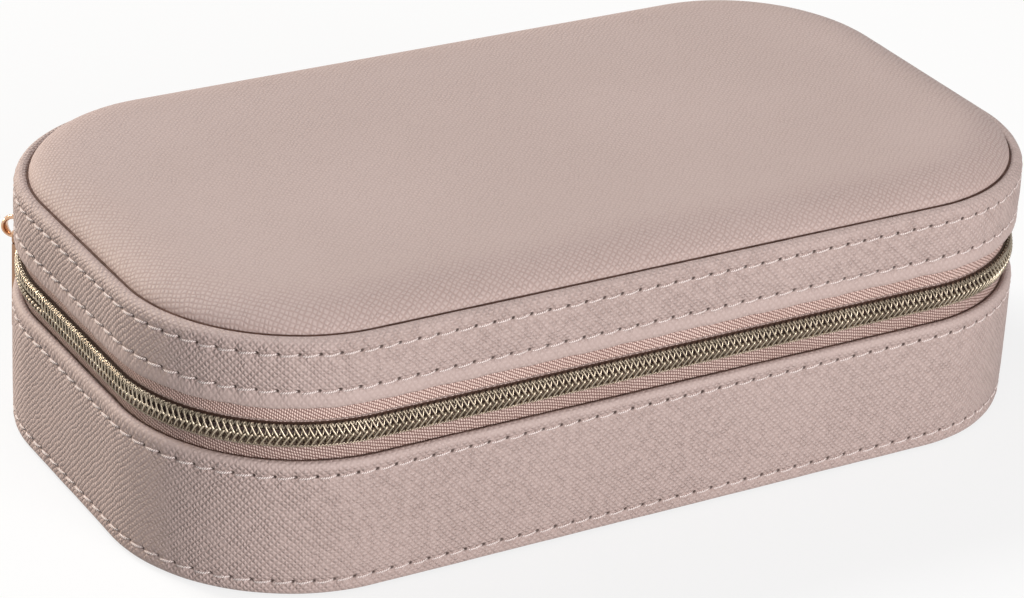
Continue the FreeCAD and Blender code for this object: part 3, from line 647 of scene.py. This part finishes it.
def stitch_row(name, level, inset, body):
    """Slanting threads that arch from needle hole to needle hole."""
    t = np.linspace(0.10, 0.95, 11)
    paths, radii = [], []
    for index in range(STITCHES):
        jitter = 0.05 * math.sin(index * 2.399) + 0.03 * math.sin(index * 5.13 + 1)
        share = (t - t[0]) / (t[-1] - t[0])
        arch = np.sin(math.pi * share)
        height = 0.14 - 0.42 * np.abs(2 * share - 1) ** 3
        s = (index + t) * STITCH_PITCH
        z = level + (share - 0.5) * 0.42 - 0.10 + jitter * arch
        paths.append(on_wall(s, inset - height, z))
        radii.append((0.135 + 0.065 * arch) * (1 + 0.45 * end_share(s)))
    row = tubes(name, paths, radii, THREAD)
    dress(row, body, "pink_leather")


def rounded_panel(name, inset, runs, foot, level, material):
    """A panel with the case's outline: rings of points at runs inward from its edge, a grid in the middle.

    level(run, x, y) is the height of its face, foot the height of its flat other side.
    """
    s = stations(0, PERIMETER, 2.0)[:-1]
    point, normal = outline(s)
    reach, count = CORNER - inset, len(s)
    runs = [r for r in runs if r < reach - 0.5] + [reach]
    rings = [np.c_[point - inset * normal, np.full(count, foot)]]
    for run in runs:
        xy = point - (inset + run) * normal
        rings.append(np.c_[xy, level(np.full(count, run), xy[:, 0], xy[:, 1])])
    flat_level = np.array([float(level(np.array(r), 0.0, 0.0)) for r in runs])
    steps = np.hypot(np.diff(np.r_[0.0, runs]), np.diff(np.r_[foot, flat_level]))
    lengths = np.r_[steps[::-1].cumsum()[::-1], 0.0]
    centre = point - CORNER * normal
    verts = np.vstack(rings).tolist()
    flat = np.vstack([centre + far * normal for far in lengths]).tolist()
    faces = grid_quads(len(rings), count, False, True).tolist()
    last = (len(rings) - 1) * count
    key = {}
    for index in range(count):
        x, y, _ = verts[last + index]
        key.setdefault((round(x, 3), round(y, 3)), last + index)
    xs = sorted({k[0] for k in key if abs(abs(k[1]) - LINE_Y) < 1e-3})
    ys = sorted({k[1] for k in key if abs(abs(k[0]) - LINE_X) < 1e-3})
    grid = {}
    for x in xs:
        for y in ys:
            if (x, y) not in key:
                run = reach + min(LINE_X - abs(x), LINE_Y - abs(y))
                key[(x, y)] = len(verts)
                verts.append((x, y, float(level(np.array(run), x, y))))
                flat.append((x, y))
            grid[(x, y)] = key[(x, y)]
    for x0, x1 in zip(xs, xs[1:]):
        for y0, y1 in zip(ys, ys[1:]):
            faces.append([grid[(x0, y0)], grid[(x1, y0)], grid[(x1, y1)], grid[(x0, y1)]])
    faces.append(list(range(count)))
    flat = np.array(flat)
    uv = np.vstack([flat[f] for f in faces])
    panel = finish_mesh(name, np.array(verts), faces, material, uv, smooth_angle=55)
    bm = bmesh.new()
    bm.from_mesh(panel.data)
    bmesh.ops.remove_doubles(bm, verts=bm.verts, dist=1e-7)
    bm.to_mesh(panel.data)
    bm.free()
    return panel


# Rings of a panel, inward from its edge
EDGE_RUNS = (0.0, 0.06, 0.2, 0.45, 0.8, 1.3, 2.0, 2.8, 3.8, 5.0, 6.5, 8.5, 11, 14, 17.5, 21.5, 26, 30)


def top_panel():
    """Padded top: its edge rolls up from the seam, and the middle is almost level."""
    foot, crown_height, crown_reach = 53.0, 5.2, 11.0

    def level(run, x, y):
        share = np.clip(run / crown_reach, 0, 1)
        rise = foot + crown_height * np.sqrt(1 - (1 - share) ** 2)
        full = np.clip((run - 5.0) / 40.0, 0, 1)
        wave = np.sin(x / 31 + 0.7) * np.cos(y / 23 - 0.4) + 0.6 * np.sin(x / 17 - y / 21)
        return rise + 0.25 * full + 0.05 * wave * np.clip(run / 12, 0, 1)

    panel = rounded_panel("lid_top_leather", PANEL_EDGE, EDGE_RUNS, 52.66, level, LEATHER_TOP)
    dress(panel, "lid", "pink_leather", "lid_top_cover")
    # A dark cord in the seam groove round the top: painted shade filling the groove
    groove = np.linspace(0, PERIMETER, 400, endpoint=False)
    seam = tubes("lid_seam_shade", [on_wall(groove, 3.17, 53.12)], [0.26], EDGE_PAINT_AND_SHADE, closed=True)
    dress(seam, "lid", "pink_leather")


def bottom_leather():
    s = stations(0, PERIMETER, 2.5)[:-1]
    point, normal = outline(s)
    rings = []
    for inset, z in ((2.2, 0.80), (2.2, 0.45), (2.45, 0.12), (2.9, 0.0), (6.0, 0.0), (20.0, 0.0), (35.0, 0.0)):
        rings.append(np.c_[point - inset * normal, np.full(len(s), z)])
    count = len(s)
    faces = grid_quads(len(rings), count, False, True).tolist()
    faces.append(list(range((len(rings) - 1) * count, len(rings) * count)))
    top = np.c_[point - 2.2 * normal, np.full(len(s), 0.85)]
    first = len(rings) * count
    verts = np.vstack(rings + [top])
    faces.extend([[i, (i + 1) % count, first + (i + 1) % count, first + i] for i in range(count)])
    faces.append(list(range(first, first + count)))
    uv = np.vstack([verts[f][:, :2] for f in faces])
    plate = finish_mesh("base_bottom_leather", verts, faces, LEATHER_PLAIN, uv)
    dress(plate, "base", "pink_leather", "base_bottom_cover")


base_leather()
lid_leather()
for row_name, row_level, row_inset, row_body in (
    ("base_stitch_low", BASE_ROWS[0], 0.32, "base"),
    ("base_stitch_high", BASE_ROWS[1], 0.32, "base"),
    ("lid_stitch_low", LID_ROWS[0], 0.70, "lid"),
    ("lid_stitch_high", LID_ROWS[1], 0.72, "lid"),
):
    stitch_row(row_name, row_level, row_inset, row_body)
top_panel()
bottom_leather()


# Zip: angles round a back corner where its pieces end
ZIP_END, BAND_END, COIL_END, UPPER_COIL = 62.06, 62.52, 57.44, 40.25


def tape(name, low, high, material, body, node):
    s = stations(corner_s(ZIP_END), corner_s(ZIP_END, 1), 2.5)
    levels = np.linspace(low, high, 7)
    profile = [(TAPE_OUT, z) for z in levels] + [(TAPE_IN, z) for z in levels[::-1]]
    piece = sweep(name, profile, s, material, closed=False)
    dress(piece, body, "zip_tape", node)


# One turn of a coil, as the upper one has it: along the zip, above its middle, out from the tape, radius
# of the wire. The front leg falls to the thicker head in the middle of the chain, and the back leg climbs
# behind the next turn.
COIL_TURN = (
    (-0.74, 2.06, 0.86, 0.21), (-0.62, 1.78, 1.06, 0.21), (-0.32, 1.20, 1.24, 0.21), (0.04, 0.62, 1.40, 0.23),
    (0.34, 0.14, 1.48, 0.26), (0.54, -0.08, 1.22, 0.25), (0.60, 0.02, 0.90, 0.22), (0.74, 0.58, 0.72, 0.20),
    (0.94, 1.26, 0.54, 0.20), (1.08, 1.84, 0.44, 0.21), (0.98, 2.14, 0.62, 0.21),
)
COIL_TOP = max(above for _, above, _, _ in COIL_TURN)
# The heads part where the slider's post passes, up to its reach beyond the corner, and close again
POST_REACH, PARTING, PARTING_FADE = 4.4, 0.66, 2.0


def parted(s, above):
    """Heights in the stretch that the slider runs over, where the heads leave room for its post."""
    share = np.clip((corner_s(0) + POST_REACH + PARTING_FADE - s) / PARTING_FADE, 0, 1)
    return above + PARTING * share * (1 - above / COIL_TOP)


def coil(name, first, last, up, shift, body, node):
    turns = int((last - first) / COIL_PITCH)
    points = []
    for turn in range(turns):
        for along, above, out, wire in COIL_TURN:
            points.append((along + (turn + shift) * COIL_PITCH, above, out, wire))
    points = through(points, 2)
    s = first + 0.9 + points[:, 0]
    path = on_wall(s, TAPE_OUT - points[:, 2], ZIP_LEVEL + up * parted(s, points[:, 1]))
    piece = tubes(name, [path], [points[:, 3]], COIL)
    dress(piece, body, "metal_coil", node)


def coil_stitch(name, first, up, body):
    """The fine thread that zigzags over the legs along a coil's outer edge."""
    count = int((corner_s(COIL_END, 1) - first - 1.0) / (COIL_PITCH / 4))
    step = np.arange(count)
    s = first + 0.6 + step * COIL_PITCH / 4
    high = step % 2 == 0
    path = on_wall(s, TAPE_OUT - np.where(high, 0.90, 1.34), ZIP_LEVEL + up * np.where(high, 2.30, 1.66))
    dress(tubes(name, [path], [0.13], COIL_THREAD, sides=5), body, "zip_tape")


def coil_bed_shade(name, first, low, high, material, body):
    """A dark strip of painted shade on the tape, where the coil is sewn on."""
    s = stations(first, corner_s(COIL_END, 1), 2.0)
    levels = np.linspace(low, high, 4)
    profile = [(TAPE_OUT - 0.09, z) for z in levels] + [(TAPE_OUT + 0.05, z) for z in levels[::-1]]
    dress(sweep(name, profile, s, material, closed=False), body, "zip_tape")


tape("lower_tape", 20.2, 32.95, TAPE_LOWER, "base", "lower_zip_tape")
tape("upper_tape", 34.25, 44.9, TAPE_UPPER, "lid", "upper_zip_tape")
coil("lower_coil", corner_s(COIL_END), corner_s(COIL_END, 1), -1, 0.5, "base", "lower_zip_coil")
coil("upper_coil", corner_s(UPPER_COIL) + COIL_PITCH, corner_s(COIL_END, 1), 1, 0.0, "lid",
     "upper_zip_coil")
coil_stitch("upper_coil_stitch", corner_s(UPPER_COIL), 1, "lid")
coil_stitch("lower_coil_stitch", corner_s(COIL_END), -1, "base")
coil_bed_shade("upper_coil_bed_shade", corner_s(UPPER_COIL), 34.3, 36.08, COIL_BED_SHADE, "lid")
coil_bed_shade("lower_coil_bed_shade", corner_s(COIL_END), 31.2, 32.9, COIL_BED_LOWER_SHADE, "base")


def hinge_band():
    """Leather band behind the tapes at the back, bowed a little outward, drawn as it lies with the lid shut.
    """
    s = stations(corner_s(BAND_END, 1) - PERIMETER, corner_s(BAND_END), 2.0)
    levels = np.r_[np.linspace(20.2, 28.0, 5), np.linspace(28.6, 39.6, 23), np.linspace(40.2, 44.9, 4)]
    bow = 0.55 * np.sin(np.clip((levels - BASE_RIM) / (LID_EDGE - BASE_RIM), 0, 1) * math.pi)
    outer = np.c_[TAPE_OUT - bow, levels]
    inner = np.c_[BAND_IN - bow, levels][::-1]
    band = sweep("hinge_leather", np.vstack([outer, inner]), s, LEATHER_PLAIN, closed=False)
    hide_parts("hinge_band")
    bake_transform(band)


hinge_band()


# Inside
CAVITY_EDGE = 7.35
BAY_FLOOR, DIVIDER_TOP = 4.6, 39.6
BAY_HALF, BAY_DEEP, DIVIDER_FAR = 31.0, 48.6, 34.0
ROLL_RADIUS, ROLL_HALF, ROLL_PITCH, ROLL_LEVEL = 7.8, 30.7, 16.0, 28.45


def rounded_bar(name, low, high, radius, material):
    """A bar with rounded edges and faintly wavy sides."""
    low, high = np.array(low, float), np.array(high, float)
    bm = bmesh.new()
    bmesh.ops.create_cube(bm, size=1.0)
    for vert in bm.verts:
        vert.co = Vector((low + (np.array(vert.co) + 0.5) * (high - low)).tolist())
    bmesh.ops.bevel(bm, geom=list(bm.edges), offset=radius, segments=4, profile=0.5, affect="EDGES")
    for axis in range(3):
        cuts = max(0, int((high - low)[axis] // 6))
        normal = Vector([1.0 if k == axis else 0.0 for k in range(3)])
        for cut in range(1, cuts):
            at = low[axis] + radius + (high[axis] - low[axis] - 2 * radius) * cut / cuts
            everything = bm.verts[:] + bm.edges[:] + bm.faces[:]
            bmesh.ops.bisect_plane(bm, geom=everything, plane_co=normal * at, plane_no=normal)
    middle, half = (low + high) / 2, (high - low) / 2
    for vert in bm.verts:
        place = (np.array(vert.co) - middle) / half
        wave = 0.06 * math.sin(vert.co.x / 9 + vert.co.y / 13 + vert.co.z / 7)
        vert.co.x += wave * (1 if high[0] - low[0] > 5 else 0.6) * (1 - abs(place[2]))
    # The cuts leave points and faces in no fixed order, so they are put in one
    ordered = sorted(bm.verts, key=lambda vert: tuple(vert.co))
    number = {vert: index for index, vert in enumerate(ordered)}
    verts, faces = [tuple(vert.co) for vert in ordered], []
    for face in bm.faces:
        loop = [number[vert] for vert in face.verts]
        first = loop.index(min(loop))
        faces.append(loop[first:] + loop[:first])
    faces.sort()
    bm.free()
    return finish_mesh(name, verts, faces, material, None, 60)


def welt(name, start, end):
    """A corded seam along a divider's top."""
    t = np.linspace(0, 1, 40)[:, None]
    path = np.array(start) + t * (np.array(end) - np.array(start))
    path[:, 2] += 0.05 * np.sin(t[:, 0] * 37)
    dress(tubes(name, [path], [0.55], VELVET_ROLL, sides=8), "base", "velvet")


def base_inside():
    lining = through([
        (4.72, 2.6), (4.70, 20.0), (4.70, 40.0), (4.72, 45.4), (5.00, 46.45), (5.75, 46.93), (6.35, 46.92),
        (7.02, 46.40), (7.28, 45.3), (7.28, 30.0), (7.28, 12.0), (7.28, 2.6),
    ], 4)
    wall = sweep("collar_velvet", lining, stations(0, PERIMETER, 2.5), VELVET)
    dress(wall, "base", "velvet", "collar_lining")

    def pad_level(run, x, y):
        edge = np.clip(run / 3.0, 0, 1)
        swell = 0.10 * np.sin(x / 19 + 0.3) * np.cos(y / 15)
        return 3.45 + 1.05 * np.sqrt(1 - (1 - edge) ** 2) + swell * edge * 0.4

    pad = rounded_panel("floor_pad_velvet", CAVITY_EDGE, EDGE_RUNS, 2.56, pad_level, VELVET)
    dress(pad, "base", "velvet", "floor_pad")
    for node, low, high, seam in (
        ("divider_left", (-DIVIDER_FAR, -BAY_DEEP, BAY_FLOOR), (-BAY_HALF, BAY_DEEP, DIVIDER_TOP),
         ((-32.5, -47.6), (-32.5, 47.6))),
        ("divider_right", (BAY_HALF, -BAY_DEEP, BAY_FLOOR), (DIVIDER_FAR, BAY_DEEP, DIVIDER_TOP),
         ((32.5, -47.6), (32.5, 47.6))),
        ("cross_divider", (34.05, -1.5, BAY_FLOOR), (92.6, 1.5, DIVIDER_TOP), ((35.0, 0.0), (91.8, 0.0))),
    ):
        dress(rounded_bar(f"{node}_velvet", low, high, 1.3, VELVET), "base", "velvet", node)
        welt(f"{node}_welt", (*seam[0], DIVIDER_TOP + 0.1), (*seam[1], DIVIDER_TOP + 0.1))
    block = rounded_bar("ring_roll_base_velvet", (-ROLL_HALF, -BAY_DEEP, BAY_FLOOR),
                        (ROLL_HALF, BAY_DEEP, 20.6), 1.5, VELVET)
    dress(block, "base", "foam", "ring_roll_base")


def stuffed_roll():
    """A ring roll's cover, blown up by cloth simulation: gathered ends and soft lengthwise creases."""
    around, along = 48, 40
    ends = np.array([0.0, 0.35, 0.62, 0.82, 0.95])
    x = np.r_[np.full(4, -29.6) + np.array([0.9, 0.45, 0.15, 0.0]), np.linspace(-28.9, 28.9, along),
              np.full(4, 29.6) - np.array([0.0, 0.15, 0.45, 0.9])]
    radius = np.r_[ends[1:] * 6.6, np.full(along, 6.9), ends[:0:-1] * 6.6]
    angle = np.linspace(0, TURN, around, endpoint=False)
    ripple = 1 + 0.02 * np.sin(angle * 9 + 0.6) + 0.012 * np.sin(angle * 5)
    verts = [(px, pr * ripple[k] * math.cos(a), pr * ripple[k] * math.sin(a))
             for px, pr in zip(x, radius) for k, a in enumerate(angle)]
    faces = grid_quads(len(x), around, False, True).tolist()
    first, last = len(verts), len(verts) + 1
    verts += [(x[0] + 0.2, 0, 0), (x[-1] - 0.2, 0, 0)]
    end = (len(x) - 1) * around
    for k in range(around):
        faces.append([first, k, (k + 1) % around])
        faces.append([last, end + (k + 1) % around, end + k])
    roll = finish_mesh("ring_roll_cover", verts, faces, VELVET_ROLL, None, None)
    rest = np.array(verts) * MM
    scene = bpy.context.scene
    cloth = roll.modifiers.new("cloth", "CLOTH").settings
    cloth.use_pressure, cloth.uniform_pressure_force = True, 4.0
    cloth.effector_weights.gravity = 0.0
    cloth.tension_stiffness = cloth.compression_stiffness = 12.0
    cloth.bending_stiffness, cloth.mass, cloth.quality = 0.4, 0.15, 6
    for number in range(1, 21):
        scene.frame_set(number)
    shown = roll.evaluated_get(bpy.context.evaluated_depsgraph_get())
    swollen = np.array([v.co for v in shown.data.vertices], float)
    roll.modifiers.clear()
    scene.frame_set(1)
    moved = swollen - rest
    far = np.linalg.norm(moved, axis=1)[:, None]
    moved *= np.minimum(1.0, 1.6 * MM / np.maximum(far, 1e-9))
    rest = rest + moved
    reach = np.hypot(rest[:, 1], rest[:, 2])
    rest[:, 1:] *= (np.minimum(1.0, ROLL_RADIUS * MM / np.maximum(reach, 1e-9)))[:, None]
    rest[:, 0] = np.clip(rest[:, 0], -ROLL_HALF * MM, ROLL_HALF * MM)
    roll.data.vertices.foreach_set("co", rest.astype(np.float32).ravel())
    roll.data.update()
    return roll


def ring_rolls():
    cover = stuffed_roll()
    for index in range(6):
        roll = cover if index == 5 else linked("roll", cover.data.copy())
        roll.name = roll.data.name = f"ring_roll_{index + 1}_velvet"
        y = ROLL_PITCH * (index - 2.5)
        moved = Matrix.Translation((0, y * MM, ROLL_LEVEL * MM))
        roll.data.transform(moved @ Matrix.Rotation(index * 1.9, 4, "X"))
        smooth = roll.modifiers.new("smooth", "SUBSURF")
        smooth.levels = smooth.render_levels = 1
        dress(roll, "base", "velvet", f"ring_roll_{index + 1}")


def lid_inside():
    skirt = through([
        (3.17, 47.25), (3.16, 43.0), (3.18, 40.6), (3.30, 40.12), (3.48, 40.02), (3.66, 40.15), (3.74, 40.7),
        (3.74, 43.0), (3.74, 47.25),
    ], 3)
    wall = sweep("lid_wall_velvet", skirt, stations(0, PERIMETER, 2.5), VELVET)
    dress(wall, "lid", "velvet", "lid_wall_lining")

    def ceiling(run, x, y):
        edge = np.clip(run / 3.0, 0, 1)
        return 48.5 - 1.12 * np.sqrt(1 - (1 - edge) ** 2)

    pad = rounded_panel("lid_ceiling_velvet", 3.16, EDGE_RUNS, 50.74, ceiling, VELVET)
    dress(pad, "lid", "velvet", "lid_ceiling_panel")

    per_corner = 14
    count = 4 * per_corner

    def plan(inset):
        """Outline of the mirror, behind its edge by inset."""
        corner, points = 10.0 - inset, []
        for cx, cy, first in ((65, 23, 0), (-65, 23, 90), (-65, -23, 180), (65, -23, 270)):
            for a in np.radians(np.linspace(first, first + 90, per_corner)):
                points.append((cx + corner * math.cos(a), cy + corner * math.sin(a)))
        return np.array(points)

    rings = [(0.0, 47.28), (0.0, 46.45), (0.12, 46.25), (5.0, 45.66), (5.3, 45.60)]
    verts = np.vstack([np.c_[plan(i), np.full(count, z)] for i, z in rings])
    faces = grid_quads(len(rings), count, False, True).tolist()
    faces += [list(range(count)), list(range(4 * count, 5 * count))]
    glass = finish_mesh("lid_mirror_glass", verts, faces, GLASS, None, 3)
    dress(glass, "lid", "mirror_glass", "lid_mirror")
    edge = np.c_[plan(-0.75), np.full(count, 46.75)]
    keep = np.linalg.norm(np.diff(np.vstack([edge, edge[:1]]), axis=0), axis=1) > 1e-6
    edge = edge[keep]
    long_edge = []
    for a, b in zip(edge, np.roll(edge, -1, 0)):
        parts = max(1, int(np.linalg.norm(b - a) / 2.5))
        long_edge.extend(a + (b - a) * k / parts for k in range(parts))
    frame_cord = tubes("mirror_piping", [np.array(long_edge)], [0.85], LEATHER_PIPING, sides=10, closed=True)
    dress(frame_cord, "lid", "pink_leather")


base_inside()
ring_rolls()
lid_inside()


SLIDER_ANGLE = 49.0
RING_OUT, RING_RADIUS, RING_WIRE = 3.5, 2.1, 0.45
RING_STEPS, WIRE_STEPS = 56, 16


def pull_ring():
    """Ring of the zip pull, in the upright plane that points out of the corner, and the bar it hangs on."""
    angle = math.radians(SLIDER_ANGLE)
    out = np.array((-math.cos(angle), math.sin(angle), 0.0))
    centre = np.array((-LINE_X, LINE_Y, ZIP_LEVEL)) + (CORNER + RING_OUT) * out
    side = np.array((-out[1], out[0], 0.0))
    turn = np.linspace(0, TURN, RING_STEPS, endpoint=False)
    wire = np.linspace(0, TURN, WIRE_STEPS, endpoint=False)
    outer = np.clip(np.cos(turn), 0, 1)
    radial = np.cos(turn)[:, None] * out + np.sin(turn)[:, None] * np.array((0, 0, 1.0))
    reach = RING_RADIUS + (RING_WIRE + 0.08 * outer)[:, None] * np.cos(wire)
    across = (RING_WIRE + 0.85 * outer**1.5)[:, None] * np.sin(wire)
    verts = centre + reach[:, :, None] * radial[:, None] + across[:, :, None] * side
    faces = grid_quads(RING_STEPS, WIRE_STEPS, True, True)
    ring = finish_mesh("pull_ring_band", verts.reshape(-1, 3), faces, ROSE, smooth_angle=None)
    dress(ring, "ring", "rose_metal", "pull_ring")
    crown = rounded_bar("slider_crown", (-1.0, 2.0, -0.42), (1.0, 2.95, 0.42), 0.3, ROSE)
    turned = Matrix((side, out, (0, 0, 1.0))).transposed().to_4x4()
    crown.data.transform(Matrix.Translation((centre - RING_OUT * out) * MM) @ turned)
    # These axes are left-handed, which turns the faces inside out
    crown.data.flip_normals()
    dress(crown, "slider", "rose_metal")


pull_ring()


def show(nodes, material, bevel=0.0):
    """CAD nodes that stay as they are, with a material and softened edges."""
    for node in nodes:
        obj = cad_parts[node]
        obj.data.materials.clear()
        obj.data.materials.append(material)
        if bevel:
            soft = obj.modifiers.new("edges", "BEVEL")
            soft.width, soft.segments, soft.limit_method = bevel * MM, 2, "ANGLE"
            soft.angle_limit = math.radians(35)


show(("pull_tab",), ROSE_SHADED, 0.12)
show(("zip_slider", "lower_top_stop", "upper_top_stop", "zip_bottom_stop"), ROSE, 0.12)
show(("base_wall_board", "base_bottom_board", "collar_board", "lid_wall_board", "lid_top_board"), BOARD)
show(("base_wall_spacer", "lid_top_padding"), FOAM)


def camera():
    """The photo's view, fitted to its seams and outline."""
    focal_pixels, picture_pixels, sensor = 3855.6, 1024, 36.0
    azimuth, elevation, roll = (math.radians(a) for a in (-31.594, 26.809, 3.269))
    target, distance = Vector((-2.021, 0.0, 21.805)) * MM, 781.8 * MM
    flat = math.cos(elevation)
    back = Vector((math.sin(azimuth) * flat, -math.cos(azimuth) * flat, math.sin(elevation)))
    right = Vector((math.cos(azimuth), math.sin(azimuth), 0.0))
    up = back.cross(right)
    turned_right = math.cos(roll) * right + math.sin(roll) * up
    turned_up = -math.sin(roll) * right + math.cos(roll) * up
    data = bpy.data.cameras.new("camera")
    data.sensor_fit, data.sensor_width = "HORIZONTAL", sensor
    data.lens = focal_pixels * sensor / picture_pixels
    data.clip_start, data.clip_end = 0.02, 50
    obj = linked("camera", data)
    rotation = Matrix((turned_right, turned_up, back)).transposed().to_4x4()
    obj.matrix_world = Matrix.Translation(target + back * distance) @ rotation
    bpy.context.scene.camera = obj


def area_light(name, direction, distance, size, power, colour):
    data = bpy.data.lights.new(name, "AREA")
    data.shape, data.size, data.energy, data.color = "DISK", size, power, colour
    obj = linked(name, data)
    aim = Vector(direction).normalized()
    obj.location = Vector((0, 0, 0.03)) + aim * distance
    obj.rotation_mode = "QUATERNION"
    obj.rotation_quaternion = aim.to_track_quat("Z", "Y")


def surroundings():
    scene = bpy.context.scene
    scene.view_settings.view_transform = "Standard"
    g = Graph("studio", bpy.data.worlds)
    g.finish(color=(1.0, 1.0, 1.0), strength=g.ramp(g.seen(), 0.0, 1.0, 0.265, 1.0, smooth=False))
    scene.world = g.owner

    area_light("key", (0.06, -0.97, 0.22), 0.95, 0.70, 9.4, (1.0, 0.975, 0.965))
    area_light("rake", (-0.28, 0.62, 0.73), 2.40, 0.80, 34.0, (1.0, 1.0, 0.985))
    area_light("side", (-0.49, 0.85, 0.20), 2.40, 0.45, 34.0, (1.0, 0.850, 0.680))

    mesh = bpy.data.meshes.new("floor")
    half, level = 6.0, -0.0001
    corners = [(x * half, y * half, level) for x, y in ((-1, -1), (1, -1), (1, 1), (-1, 1))]
    mesh.from_pydata(corners, [], [(0, 1, 2, 3)])
    floor = linked("floor", mesh)
    g = Graph("floor_white")
    shown = g.seen()
    g.finish(base_color=g.colour(shown, (0.30, 0.30, 0.30), (0.90, 0.90, 0.90)), roughness=0.9)
    glow = g.node("ShaderNodeEmission", {"Color": (1.0, 1.0, 1.0, 1.0), "Strength": 1.0})
    mix = g.node("ShaderNodeMixShader")
    g.set(mix.inputs["Fac"], g.mul(shown, 0.78))
    g.set(mix.inputs[1], g.shader.outputs[0])
    g.set(mix.inputs[2], glow.outputs[0])
    output = next(n for n in g.tree.nodes if n.type == "OUTPUT_MATERIAL")
    g.set(output.inputs["Surface"], mix.outputs[0])
    mesh.materials.append(g.owner)


camera()
surroundings()
